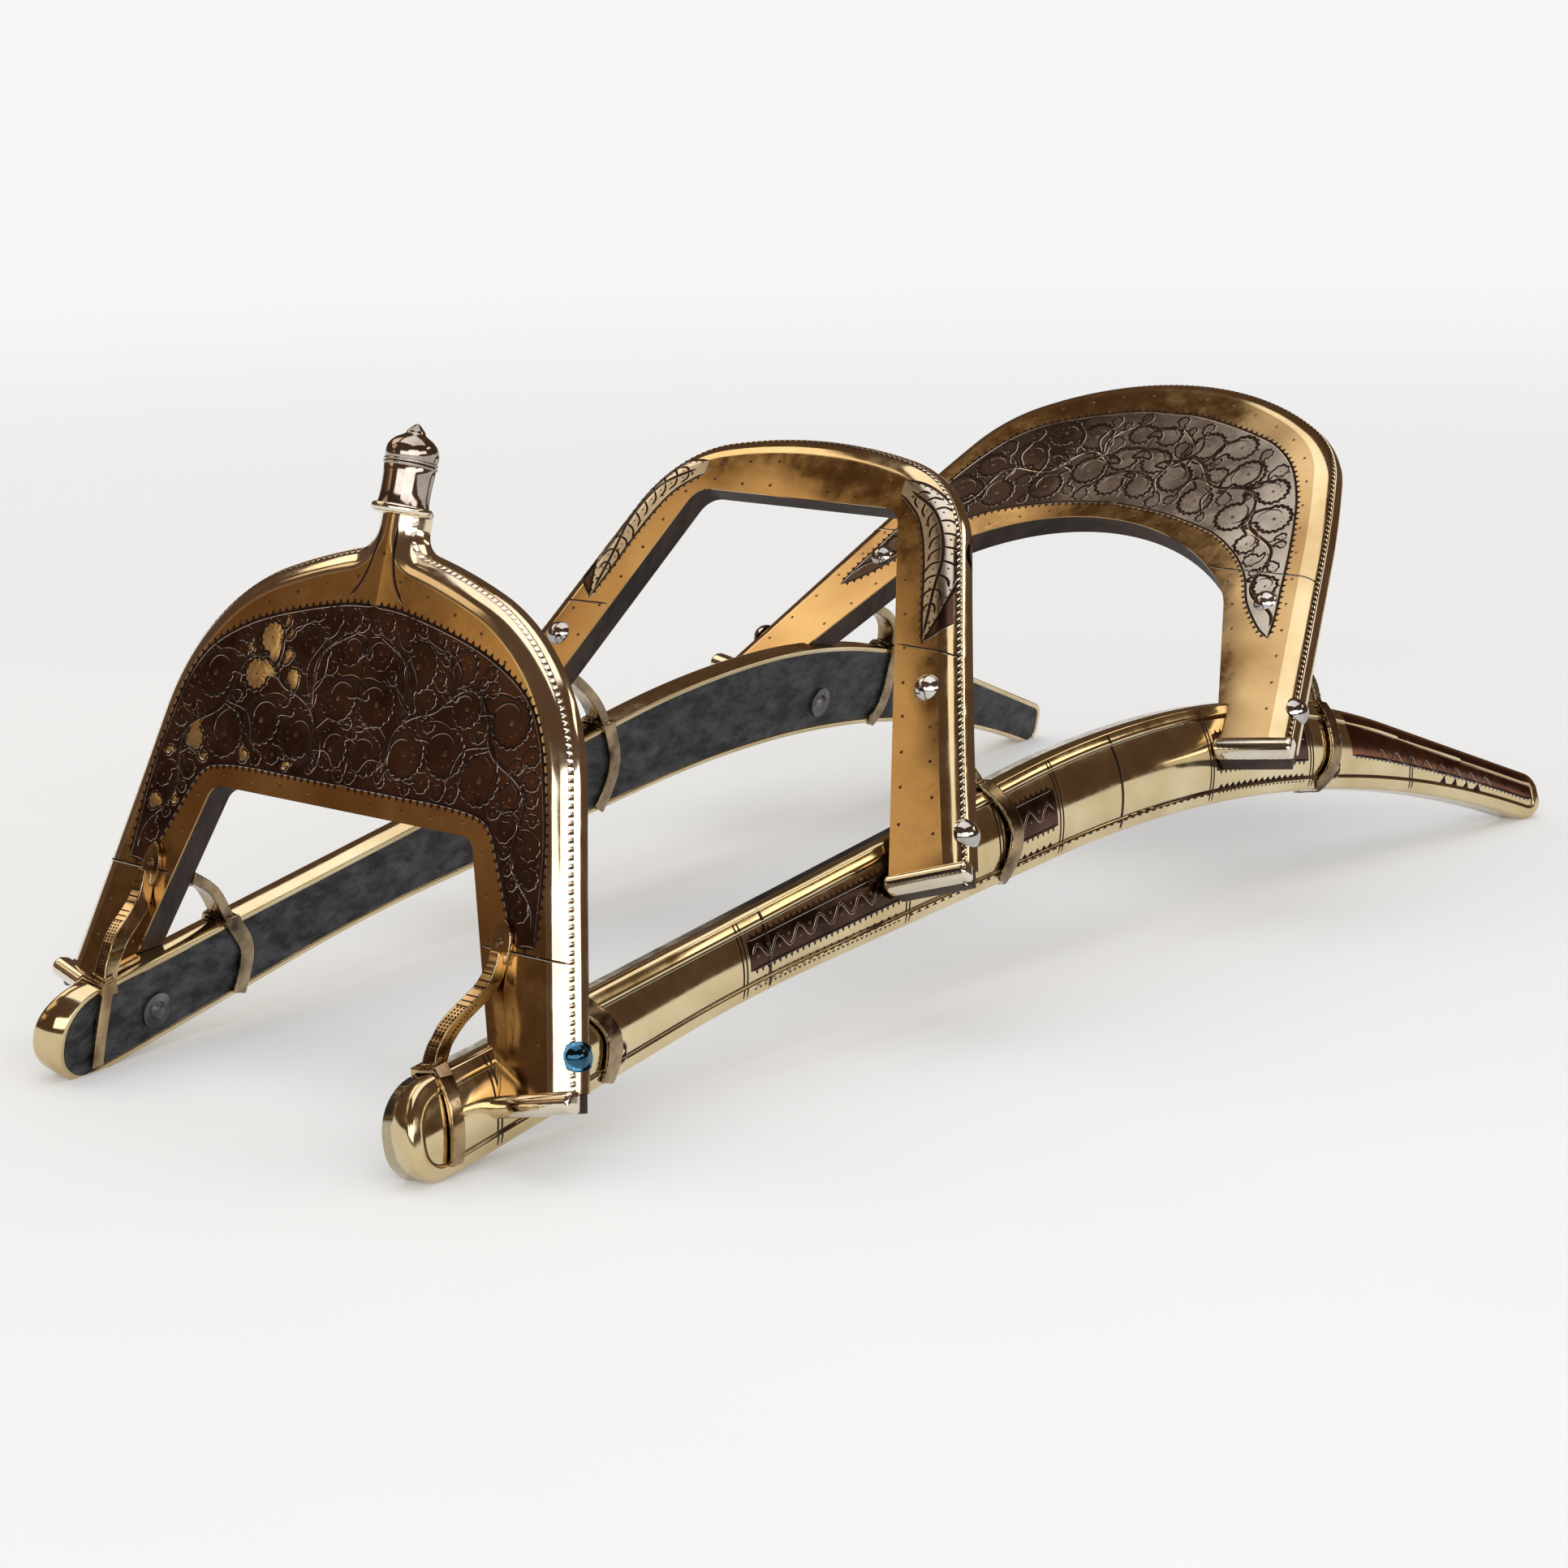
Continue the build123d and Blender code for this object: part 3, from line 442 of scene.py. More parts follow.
class Pile:
    """Collects many small pieces of surface that make one object."""

    def __init__(self):
        self.verts, self.faces, self.mats = [], [], []

    def grid(self, rows, mat=0, closed=False, mats=None):
        # Faces between neighbouring points of equally long rows.
        rows = np.asarray(rows)
        n, m = rows.shape[:2]
        base = len(self.verts)
        self.verts.extend(rows.reshape(-1, 3))
        for i in range(n if closed else n - 1):
            here = base + i * m
            there = base + (i + 1) % n * m
            for k in range(m - 1):
                self.faces.append((here + k, there + k, there + k + 1, here + k + 1))
                self.mats.append(mats[k] if mats else mat)

    def fan(self, ring, tip, mat=0):
        # Faces from the sides of a ring to one point.
        base = len(self.verts)
        self.verts.extend(list(ring) + [tip])
        count = len(ring)
        for k in range(count):
            self.faces.append((base + k, base + (k + 1) % count, base + count))
            self.mats.append(mat)

    def polygon(self, ring, mat):
        base = len(self.verts)
        self.verts.extend(ring)
        self.faces.append(tuple(range(base, base + len(ring))))
        self.mats.append(mat)

    def make(self, name, mats, slot):
        return mesh_piece(name, self.verts, self.faces, mats, self.mats)


# Chased lines, coloured fields, dots and teeth, scallops
CUTS, FIELDS, STUDS, BEADS = Pile(), Pile(), Pile(), Pile()
# Materials of the four strips across a chased line: 0 groove, 1 lip with a painted highlight, 2 grey
BRIGHT, PLAIN, BOTH_LIPS_LIT = (0, 0, 0, 1), (0, 0, 0, 2), (1, 0, 0, 1)
# Materials of the fields
DARK, GREY, GLINT, REAR, RED = range(5)


def polar(radius, angle):
    return np.stack([radius * np.cos(angle), radius * np.sin(angle)], -1)


class Face:
    """Draws on a face: plane points are laid on its surface with a small lift."""

    def __init__(self, board, height, side):
        self.board, self.height, self.side = board, height, side

    def lay(self, points, lift):
        points = np.asarray(points, float)
        w = self.height(points) + lift
        return self.board.world(np.column_stack([points, w]), self.side)

    def line(self, points, width, lip, mats=PLAIN, step=1.6):
        # A chased line: dark groove between two raised lips, narrower at both ends.
        points = resample(points, step)
        n = normals(points)
        from_end = np.minimum(np.arange(len(points)), np.arange(len(points))[::-1])
        taper = np.minimum(1, from_end / 3 + 0.25)[:, None]
        outer = width / 2 + lip
        profile = ((outer, 0.01), (width / 2, 0.16), (0, 0.04), (-width / 2, 0.16), (-outer, 0.01))
        columns = [self.lay(points + n * off * taper, lift) for off, lift in profile]
        CUTS.grid(np.stack(columns, 1), mats=mats)

    def dot(self, at, radius, height, sides=8):
        # A small pointed bump.
        ring = at + polar(radius, np.linspace(0, math.tau, sides, False))
        STUDS.fan(self.lay(ring, 0.02), self.lay([at], height)[0])

    def between(self, pile, one, other, lift, mat, rows=14, steps=60):
        # A patch that fills the room between two lines.
        a, b = even(one, steps), even(other, steps)
        pile.grid([self.lay(a + (b - a) * share, lift) for share in np.linspace(0, 1, rows)], mat)


class Rim(Face):
    """Draws on an arch's rounded edge: along the outline, then from the side strip to the face."""

    def __init__(self, arch, side):
        self.board, self.side, self.outline = arch["plane"], side, arch["line"]
        self.out = normals(self.outline)
        self.along = lengths_along(self.outline)
        level = arch["foot"]["rise"] + arch["foot"]["bar"] + 3.0
        self.length = self.along[self.outline[:, 1] > level][-1]

    def lay(self, points, lift):
        points = np.asarray(points, float)
        turn = math.asin((ROUNDING - STRIP_START) / ROUNDING) + points[:, 1] / ROUNDING
        spot = at_lengths(points[:, 0], self.along, self.outline)
        out = at_lengths(points[:, 0], self.along, self.out)
        inset = EDGE_REACH - (ROUNDING + lift) * np.cos(turn)
        w = -ROUNDING + (ROUNDING + lift) * np.sin(turn)
        return self.board.world(np.column_stack([spot - out * inset[:, None], w]), self.side)


# Arch sheets: flat face, rounded edge and side, split at the seams
def arch_sheet_mesh(arch):
    # The first material is the flat face's, the second the rounded edge's, a paler copy that paints a
    # highlight there.
    line = arch["line"]
    n = normals(line)
    profile = [(STRIP_THICKNESS, -BOARD_THICKNESS), (STRIP_THICKNESS, -ROUNDING)]
    for t in [math.radians(90 * k / 12) for k in range(1, 13)]:
        profile.append((EDGE_REACH - ROUNDING * math.cos(t), -ROUNDING + ROUNDING * math.sin(t)))
    bm = bmesh.new()
    grid = []
    for inset, w in profile:
        grid.append([bm.verts.new(tuple(p)) for p in raised(line - n * inset, w)])
    for a, b in zip(grid[:-1], grid[1:]):
        for k in range(len(a) - 1):
            bm.faces.new((a[k], a[k + 1], b[k + 1], b[k])).material_index = 1
    low = [bm.verts.new((x, y, 0)) for x, y in arch["gap_line"]]
    ring = grid[-1] + low[::-1]
    if line[0][0] > 0:
        # The outline starts beside the finial, so the face needs a corner at the middle.
        ring = [bm.verts.new((0, line[0][1], 0))] + ring
    bm.faces.new(ring)
    # The thin inner rim of the sheet round the opening
    back = [bm.verts.new((x, y, -SHEET)) for x, y in arch["gap_line"]]
    for k in range(len(low) - 1):
        bm.faces.new((low[k], low[k + 1], back[k + 1], back[k]))
    return bm


def cut(bm, point, normal):
    # Keeps what lies on the side that the normal points to.
    geom = bm.verts[:] + bm.edges[:] + bm.faces[:]
    bmesh.ops.bisect_plane(bm, geom=geom, plane_co=point, plane_no=normal, clear_inner=True)


def bm_to_piece(bm, name, arch, part_sides):
    # One half as drawn (side 1), its mirror image (side -1), or both welded together.
    bmesh.ops.triangulate(bm, faces=[f for f in bm.faces if len(f.verts) > 4])
    verts = np.array([v.co[:] for v in bm.verts])
    bm.verts.index_update()
    faces = [[v.index for v in f.verts] for f in bm.faces]
    face_mats = [f.material_index for f in bm.faces] * len(part_sides)
    all_verts, all_faces = [], []
    for side in part_sides:
        base = len(all_verts)
        all_verts.extend(ARCHES[arch]["plane"].world(verts, side))
        all_faces.extend([[base + k for k in (f if side == 1 else f[::-1])] for f in faces])
    bm.free()
    # The rounded edge gets a paler brass as a painted highlight.
    skins = [ARCH_BRASS, EDGE_HIGHLIGHT_BRASS if arch == "front" else RIM_HIGHLIGHT_BRASS]
    obj = mesh_piece(name, all_verts, all_faces, skins, face_mats)
    welded = bmesh.new()
    welded.from_mesh(obj.data)
    bmesh.ops.remove_doubles(welded, verts=welded.verts, dist=0.00001)
    bmesh.ops.recalc_face_normals(welded, faces=welded.faces)
    welded.to_mesh(obj.data)
    welded.free()
    obj.data.set_sharp_from_angle(angle=math.radians(35))
    return obj


for name, arch in ARCHES.items():
    foot = arch["foot"]
    fall = math.tan(math.radians(foot["slope"]))
    for skin, sheet, part_sides, from_seam in (
        (name + "_crown_skin", name + "_arch_crown_sheet", (1, -1), 1),
        ("left_" + name + "_leg_skin", "left_" + name + "_leg_sheet", (1,), -1),
        ("right_" + name + "_leg_skin", "right_" + name + "_leg_sheet", (-1,), -1),
    ):
        bm = arch_sheet_mesh(arch)
        cut(bm, (foot["half"], foot["rise"] + foot["bar"], 0), (-fall, 1, 0))
        cut(bm, (0, arch["seam"], 0), (0, from_seam, 0))
        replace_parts(bm_to_piece(bm, skin, name, part_sides), sheet)


# Runner cladding: swollen outer face and the rolled edging round it
FRONT_SEAM = -195.0
REAR_SEAM = 45.0
END_REACH = 24
SHEET_INSET = 5.0
POINTS_ACROSS = 17
# Insets and heights of the edging's narrow fold over the inner face
INNER_FOLD = ((2.8, -9.9), (2.6, -10.3), (0.5, -10.3))
# Radius of its corner, and where its lap is flat
CORNER = 2.2
FLAT_START = 4.5


def stations(inset):
    # Places along the runner, closer together where its ends are rounded.
    turns = np.linspace(0, math.pi, 40)[:14]
    ends = (1 - np.cos(turns)) / (1 - math.cos(turns[-1])) * END_REACH
    nose = NOSE + inset + ends
    tail = TAIL - inset - ends[::-1]
    mid = np.linspace(nose[-1], tail[0], 110)[1:-1]
    return np.concatenate([nose, mid, tail])


def runner_sheet(name, low, high, side):
    rows = [a for a in stations(SHEET) if low < a < high]
    rows = [low] * (low > NOSE) + rows + [high] * (high < TAIL)
    grid = []
    for a in rows:
        across = np.linspace(*runner_limits(a, SHEET_INSET), POINTS_ACROSS)
        points = np.column_stack([np.full(POINTS_ACROSS, a), across])
        grid.append(runner.world(np.column_stack([points, runner_height(points)]), side))
    pile = Pile()
    pile.grid(grid)
    return pile.make(name, [RUNNER_BRASS], "runner_brass")


def outline_ring(inset):
    # Points round the runner's outline, moved inwards: first the top, then the belly.
    a = stations(inset)
    limits = [runner_limits(v, inset) for v in a]
    top = [(v, high) for v, (low, high) in zip(a, limits)]
    belly = [(v, low) for v, (low, high) in zip(a, limits)]
    return np.array(top + belly[::-1])


def edging(name, side):
    # Rolled strip: inner fold, side wall, soft corner and a lap onto the face.
    full, lap = outline_ring(0.0), outline_ring(LAP)
    corner, flat = outline_ring(CORNER), outline_ring(FLAT_START)
    rings = [raised(outline_ring(inset), height) for inset, height in INNER_FOLD]
    rings.append(raised(full, -RUNNER_THICKNESS))
    # The face's height at the outline is taken from a little further in.
    face = runner_height(full * 0.985 + lap * 0.015) + SHEET
    corner_face = runner_height(corner) + SHEET
    for t in [math.radians(90 * k / 6) for k in range(7)]:
        spot = full + (corner - full) * (1 - math.cos(t))
        w = (face - CORNER) + (corner_face - face + CORNER) * math.sin(t)
        rings.append(np.column_stack([spot, w]))
    rings.append(np.column_stack([flat, runner_height(flat) + SHEET]))
    rings.append(np.column_stack([lap, runner_height(lap) + SHEET]))
    rings.append(np.column_stack([lap, runner_height(lap) - 0.1]))
    pile = Pile()
    pile.grid(np.stack([runner.world(ring, side) for ring in rings], 1), closed=True)
    return pile.make(name, [RUNNER_BRASS], "edge_brass")


LENGTHS = (("front", NOSE, FRONT_SEAM), ("middle", FRONT_SEAM, REAR_SEAM), ("rear", REAR_SEAM, TAIL))
for side_name, side in (("left", 1), ("right", -1)):
    for part, low, high in LENGTHS:
        piece = runner_sheet(side_name + "_runner_" + part + "_skin", low, high, side)
        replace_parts(piece, side_name + "_runner_" + part + "_sheet")
    piece = edging(side_name + "_runner_rolled_edge", side)
    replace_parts(piece, side_name + "_runner_edging")


# Engraving: borders, leaves and vines on the arches and runners
def smooth_line(points, step=2.0):
    # A soft curve through a few chosen points.
    p = np.asarray(points, float)
    ends = np.concatenate([[2 * p[0] - p[1]], p, [2 * p[-1] - p[-2]]])
    out = []
    for k in range(1, len(ends) - 2):
        a, b, c, d = ends[k - 1 : k + 3]
        for t in np.linspace(0, 1, 9)[:-1]:
            square = (2 * a - 5 * b + 4 * c - d) * t**2
            cube = (3 * b - a - 3 * c + d) * t**3
            out.append(0.5 * (2 * b + (c - a) * t + square + cube))
    out.append(p[-1])
    return resample(np.array(out), step)


def tooth_row(face, points, pitch, height, sign=1):
    # Small dark pointed teeth along one side of a line.
    base = resample(points, pitch)
    for p, out, along in list(zip(base, normals(base) * sign, directions(base)))[1:-1]:
        half = along * pitch * 0.3
        tooth = [p - half + out * 0.2, p + half + out * 0.2, p + out * height]
        STUDS.polygon(face.lay(tooth if sign > 0 else tooth[::-1], 0.12), 1)


def border(face, points, pitch=4.0, height=2.6, sign=1, mats=PLAIN):
    # A dark line with pointed teeth on its left side, or on its right side with a sign of -1.
    face.line(points, width=1.0, lip=0.3, mats=mats)
    tooth_row(face, points, pitch, height, sign)


def glinting_blade(face, centre, ring):
    # Pale gold inside a leaf, a painted glint of light, raised a little to its middle.
    blade = centre + (ring - centre) * 0.86
    middle = centre + (blade - centre) * 0.5
    FIELDS.grid([face.lay(blade, 0.06), face.lay(middle, 0.2)], GLINT)
    FIELDS.fan(face.lay(middle[:-1], 0.2), face.lay([centre], 0.22)[0], GLINT)


def leaf(face, centre, radius, heading, mats):
    # A comma-shaped leaf: scalloped back, curled tip, a dark eye and an inner curl.
    t = np.linspace(-math.pi, math.pi, int(60 + radius * 5))
    tip = np.exp(-((t / 0.4) ** 2))
    lobes = max(8, int(radius * 1.7))
    edge = radius * (0.86 + 0.95 * tip)
    edge = edge + min(1.3, radius * 0.15) * np.abs(np.sin(lobes * t / 2)) * (np.abs(t) > 0.75)
    turn = heading + t + 0.7 * tip
    ring = centre + polar(edge, turn)
    least, most, share = (0.8, 1.2, 0.14) if mats == BRIGHT else (1.0, 1.7, 0.22)
    face.line(ring, width=max(least, min(most, radius * share)), lip=0.2, mats=mats, step=0.45)
    if radius > 4:
        back = ring[np.abs(t) > 0.85]
        back = np.concatenate([back[len(back) // 2 :], back[: len(back) // 2]])
        tooth_row(face, back, radius * 6.28 / lobes, 1.5, -1)
    # On the front arch some leaves of its right-hand side get a painted glint of pale gold.
    if mats == BRIGHT and face.side < 0 and centre[0] > 30 and radius < 8 and rng.random() < 0.75:
        glinting_blade(face, centre, ring)
    face.dot(centre, max(0.5, radius * 0.12), 0.4)
    if radius > 5.5:
        curl = np.linspace(0.0, 2.5, 14)
        reach = radius * (1.0 - 0.21 * curl)
        face.line(centre + polar(reach, heading + 0.5 - curl), width=0.7, lip=0.2, mats=mats)
        for angle in (-0.6, 0, 0.6):
            face.dot(centre + polar(0.5 * radius, heading + math.pi + angle), 0.45, 0.36, sides=5)
    return centre + polar(radius * 1.7, heading + 0.55)


def fill_panel(face, ring, vine, sizes, mats, placed):
    # Packs leaves on both sides of the vine and joins them to it by stems.
    tries = 700
    closed = np.concatenate([ring, ring[:1]])
    low, high = ring.min(0), ring.max(0)
    chosen = len(placed)
    for radius in sizes:
        spots = [(rng.uniform(low[0], high[0]), rng.uniform(low[1], high[1])) for _ in range(tries)]
        spots = np.array(spots)
        spots = spots[inside(spots, ring)]
        from_border, from_vine = distance(spots, closed), distance(spots, vine)
        spots = spots[(from_border > radius + 0.8) & (from_vine > radius * 0.98 + 0.4)]
        for spot in spots:
            if all(np.hypot(*(spot - other)) > (radius + size) * 1.06 for other, size in placed):
                placed.append((spot, radius))
    for spot, radius in placed[chosen:]:
        near = int(np.linalg.norm(vine - spot, axis=1).argmin())
        root = vine[max(0, near - int(radius * 0.8))]
        heading = math.atan2(*(root - spot)[::-1])
        tip = leaf(face, spot, radius, heading - 0.4, mats)
        side = np.array([-(root - tip)[1], (root - tip)[0]]) * 0.25
        stem = smooth_line([tip, (tip + root) / 2 + side, root])
        face.line(stem, width=0.9 if mats == BRIGHT else 1.2, lip=0.3, mats=mats)
    face.line(vine, width=1.6, lip=0.4, mats=mats)


def veined_leaf(face, vine, outline):
    # One long leaf: a middle rib, curved side ribs and a punched dot between them.
    face.line(vine, width=1.2, lip=0.3)
    room = distance(vine, outline)
    out = normals(vine)
    ahead = np.gradient(vine, axis=0)
    for k in range(4, len(vine) - 9, 7):
        for side in (1, -1):
            reach = room[k] - 0.8
            if reach < 1.2:
                continue
            bend = vine[k] + out[k] * side * reach * 0.7 + ahead[k] * 1.6
            end = vine[k] + out[k] * side * reach + ahead[k] * 5.5
            face.line(smooth_line([vine[k], bend, end], 0.6), width=0.9, lip=0.25, step=0.7)
            face.dot(vine[k] + out[k] * side * reach * 0.45 + ahead[k] * 3.8, 0.55, 0.3)


def nail_row(face, points):
    # Nail heads that don't stand quite in line.
    for at in resample(points, NAIL_PITCH)[1:-1]:
        face.dot(at + np.array([rng.uniform(-0.6, 0.6), rng.uniform(-0.6, 0.6)]), 0.9, 0.4)


def wavy(points, size, wave):
    # A vine that swings from side to side along a line.
    p = smooth_line(points, 1.5)
    along = np.arange(len(p)) * 1.5
    return p + normals(p) * (np.sin(along / wave * 2 * math.pi) * size)[:, None]


def scalloped_rim(rim, pile):
    # Bright round scallops of the side strip over a darker band, which is painted shade under the strip's
    # scalloped edge.
    low, high = [[(0, reach), (rim.length, reach)] for reach in (-0.4, 2.1)]
    # Painted shade: a darker band where the scalloped edge would throw its shadow.
    rim.between(pile, low, high, 0.06, 1, rows=4, steps=260)
    half_width, start, reach = 1.72, -0.2, 2.3
    turns = np.linspace(0, math.pi, 7)
    for k in range(int(rim.length / SCALLOP_PITCH)):
        centre = (k + 0.5) * SCALLOP_PITCH
        ring = [(centre + half_width * math.cos(t), start + reach * math.sin(t)) for t in turns]
        BEADS.fan(rim.lay(ring, 0.1), rim.lay([(centre, 0.5)], 0.62)[0])


# Panels of the front and rear arch. Places are half of the width and height up the arch.
# centre: place, radius and heading of the leaves in the middle, from low to high.
PANELS = {
    "front": dict(
        top=[(0, 211), (17, 210), (43, 205), (68, 198), (87, 189), (98, 180), (106, 167), (112, 149)]
        + [(118, 125), (121, 99), (122, 88)],
        low=[(0, 136), (30, 136), (60, 136), (80, 134), (88, 129), (94, 119), (101, 106), (107, 95)]
        + [(112, 87)],
        vine=[(22, 148), (38, 174), (60, 180), (80, 168), (94, 150), (104, 128), (111, 108), (115, 92)],
        centre=[((10.5, 149.5), 8.4, 1.9), ((11.5, 171.0), 9.6, 2.3), ((9.0, 192.0), 7.0, 2.6)],
        leaf_sizes=[10.5, 9, 7.6, 6.2, 5, 4, 3, 2.2],
        field=DARK,
        lines=BRIGHT,
        seed=11,
    ),
    "rear": dict(
        top=[(0, 357), (16, 357), (37, 353), (58, 347), (75, 340), (91, 327), (104, 307), (113, 286)]
        + [(121, 263), (128, 240), (133, 224), (136, 210)],
        low=[(0, 289), (29, 286), (51, 281), (72, 274), (90, 262), (103, 248), (113, 231), (127, 216)]
        + [(136, 210)],
        vine=[(20, 318), (34, 320), (55, 312), (78, 300), (95, 282), (108, 258), (120, 232), (130, 216)],
        centre=[((9.6, 302.0), 8.2, 1.9), ((10.4, 321.0), 9.0, 2.3), ((9.0, 340.0), 7.4, 2.6)],
        leaf_sizes=[10, 9, 8, 6.8, 5.6, 4.4, 3.4, 2.5],
        field=REAR,
        lines=PLAIN,
        seed=23,
    ),
}
MIDDLE_OUT = [(60, 269), (73, 268), (86, 262), (96, 252), (103, 240), (106, 226), (106, 209), (102, 191)]
MIDDLE_IN = [(60, 262), (65, 259), (74, 252), (81, 242), (88, 227), (95, 208), (102, 191)]
MIDDLE_VINE = [(66, 264), (84, 254), (95, 236), (98, 215), (101, 196)]
NECK_RIDGE = [(4.2, 246), (5.6, 232), (9.5, 221), (15.5, 213.5)]
NAIL_PITCH = 17.0
NAIL_INSET = 15.5
GAP_NAIL_INSET = 5.0
NAILS_START = 14
SCALLOP_PITCH = 3.4
STRIP_WIDTH = 4.4


def engrave_panel(face, panel):
    # A field with toothed borders, filled with leaves on a swinging vine.
    mats, centre = panel["lines"], panel["centre"]
    top, low = smooth_line(panel["top"]), smooth_line(panel["low"])
    face.between(FIELDS, low, top, 0.03, panel["field"])
    border(face, top, mats=mats)
    border(face, low, sign=-1, mats=mats)
    if panel["top"][-1] != panel["low"][-1]:
        border(face, np.array([top[-1], low[-1]]), mats=mats)
    rng.seed(panel["seed"])
    for at, radius, heading in centre:
        leaf(face, np.array(at), radius, heading, mats)
    fixed = [(np.array(at), radius) for at, radius, heading in centre]
    vine = wavy(panel["vine"], size=5.0, wave=48.0)
    fill_panel(face, np.concatenate([low, top[::-1]]), vine, panel["leaf_sizes"], mats, fixed)
    low_leaf, high_leaf = centre[0][0][1], centre[2][0][1]
    face.line([(0, low_leaf - 9), (0, high_leaf + 8)], width=0.6, lip=0.25, mats=mats)


def engrave_middle(face):
    # A long leaf on each shoulder of the middle arch, with a dark strip between it and the rim.
    top, low = smooth_line(MIDDLE_OUT), smooth_line(MIDDLE_IN)
    face.between(FIELDS, low, top, 0.03, GREY)
    outline = ARCHES["middle"]["line"]
    shoulder = (outline[:, 1] < 243) & (outline[:, 1] > 205)
    beside_rim = (outline - normals(outline) * STRIP_WIDTH)[shoulder]
    beside_leaf = top[(top[:, 1] < 238) & (top[:, 1] > 192)]
    face.between(FIELDS, beside_leaf, beside_rim, 0.03, DARK)
    border(face, top, height=1.6, sign=-1)
    border(face, low, height=1.6, sign=-1)
    spur = np.array([(102, 192), top[-1] * 0.5 + beside_rim[-1] * 0.5, beside_rim[-1]])
    face.line(spur, width=1.0, lip=0.35)
    veined_leaf(face, smooth_line(MIDDLE_VINE, 1.0), np.concatenate([low, top[::-1], low[:1]]))


def trim_arch(face, name):
    # Nails along the outline and the opening, the leg sheet's seam and the scalloped rim.
    arch = ARCHES[name]
    level = arch["foot"]["rise"] + NAILS_START
    for line, inset in ((arch["line"], NAIL_INSET), (arch["gap_line"], -GAP_NAIL_INSET)):
        row = line - normals(line) * inset
        nail_row(face, row[row[:, 1] > level])
    inner, outer = [
        line[np.abs(line[:, 1] - arch["seam"]).argmin()] for line in (arch["gap_line"], arch["line"])
    ]
    face.line([inner + (1.2, 0), outer - (1.5, 0)], width=0.5, lip=0.3)
    scalloped_rim(Rim(arch, face.side), CUTS if name == "front" else STUDS)


for sign in (1, -1):
    faces = {}
    for name, arch in ARCHES.items():
        faces[name] = Face(arch["plane"], lambda points, arch=arch: arch_height(arch, points), sign)
    for name, panel in PANELS.items():
        engrave_panel(faces[name], panel)
    engrave_middle(faces["middle"])
    for name in ARCHES:
        trim_arch(faces[name], name)
    faces["front"].line(smooth_line(NECK_RIDGE), width=0.35, lip=0.7, mats=BRIGHT)


# Runner engraving: places are given along the runner and as a share of its height
BLOCKS = ((-207, -110), (-40, -3), (117, 191))
TAIL_FIELD = (228, 385)
BANDS = (278, -352)
RING_NAILS = ((-286, 28), (213, 57))
RING_RADIUS = 4.2
CURL = 6.5


def on_cladding(places):
    points = []
    for a, share in places:
        low, top = runner_limits(a)
        points.append((a, low + (top - low) * share))
    return np.array(points)


def along_cladding(first, last, share, step=6.0):
    count = max(2, int((last - first) / step))
    return on_cladding([(a, share) for a in np.linspace(first, last, count)])


def cross_band(face, a, gap=2.2):
    # A double line across the runner.
    for away in (-gap / 2, gap / 2):
        across = on_cladding([(a + away, share) for share in np.linspace(0.02, 0.98, 9)])
        face.line(across, width=0.5, lip=0.3)


def scroll(face, first, last, share, size):
    # Waves of S-shaped curls with an eye in each bend.
    line = along_cladding(first, last, share, 2.0)
    wave = np.sin((line[:, 0] - line[0, 0]) / (2 * CURL) * 2 * math.pi)
    curls = line + np.column_stack([0 * wave, wave * size])
    face.line(curls, width=0.7, lip=0.35, mats=BOTH_LIPS_LIT, step=0.8)
    for k in range(int((last - first) / CURL)):
        middle = on_cladding([(first + 3.2 + CURL * k, share)])[0]
        face.dot(middle + (0, size * (-0.45 if k % 2 == 0 else 0.45)), 0.9, 0.25)


def engrave_block(face, first, last):
    # A dark field with teeth on both sides, curls with painted highlights on both lips, and teeth along the
    # belly.
    low, top = [along_cladding(first, last, share) for share in (0.34, 0.7)]
    face.between(FIELDS, low, top, 0.04, DARK)
    border(face, top, 3.6, 2.4)
    border(face, low, 3.6, 2.4, -1)
    scroll(face, first + 2, last - 2, 0.52, 3.4)
    tooth_row(face, along_cladding(first, last, 0.13), 4.6, 3.2)
    tooth_row(face, along_cladding(first, last, 0.12), 3.0, 1.2, -1)
    cross_band(face, first - 3)
    cross_band(face, last + 3)


def engrave_tail(face):
    # A red-brown field with curls, and rows of teeth over and under it.
    low, top = [along_cladding(*TAIL_FIELD, share) for share in (0.42, 0.97)]
    face.between(FIELDS, low, top, 0.04, RED)
    scroll(face, 250, 349, 0.5, 2.8)
    border(face, low, 3.6, 1.4, -1)
    tooth_row(face, along_cladding(296, 345, 0.24), 9.0, 4.4)
    tooth_row(face, along_cladding(280, 372, 0.84), 3.2, 1.4, -1)


for sign in (1, -1):
    face = Face(runner, clad_height, sign)
    lap_ring = outline_ring(LAP)
    half = len(lap_ring) // 2
    for lap_line in (lap_ring[half:], lap_ring[:half]):
        face.line(lap_line, width=0.5, lip=0.15)
    for first, last in BLOCKS:
        engrave_block(face, first, last)
    tooth_row(face, along_cladding(BLOCKS[0][1], BLOCKS[2][0], 0.1), 5.2, 1.6)
    for seam in (FRONT_SEAM, REAR_SEAM):
        cross_band(face, seam, gap=0.8)
    engrave_tail(face)
    for a in BANDS:
        cross_band(face, a)
    for at in RING_NAILS:
        ring = at + polar(RING_RADIUS, np.linspace(0, math.tau, 25))
        face.line(ring, width=0.9, lip=0.9, mats=BRIGHT, step=0.8)
        face.dot(at, 1.3, 0.5)

CUTS.make("engraved_lines", [GROOVE, LIP_HIGHLIGHT, GREY_FIELD], "arch_brass")
STUDS.make("punched_dots", [NAIL, GROOVE], "dark_steel")
FIELDS.make("engraved_fields", [DARK_FIELD, GREY_FIELD, LEAF_GLINT, REAR_FIELD, RED_FIELD], "arch_brass")
BEADS.make("scalloped_strips", [PALE_BRASS], "edge_brass")


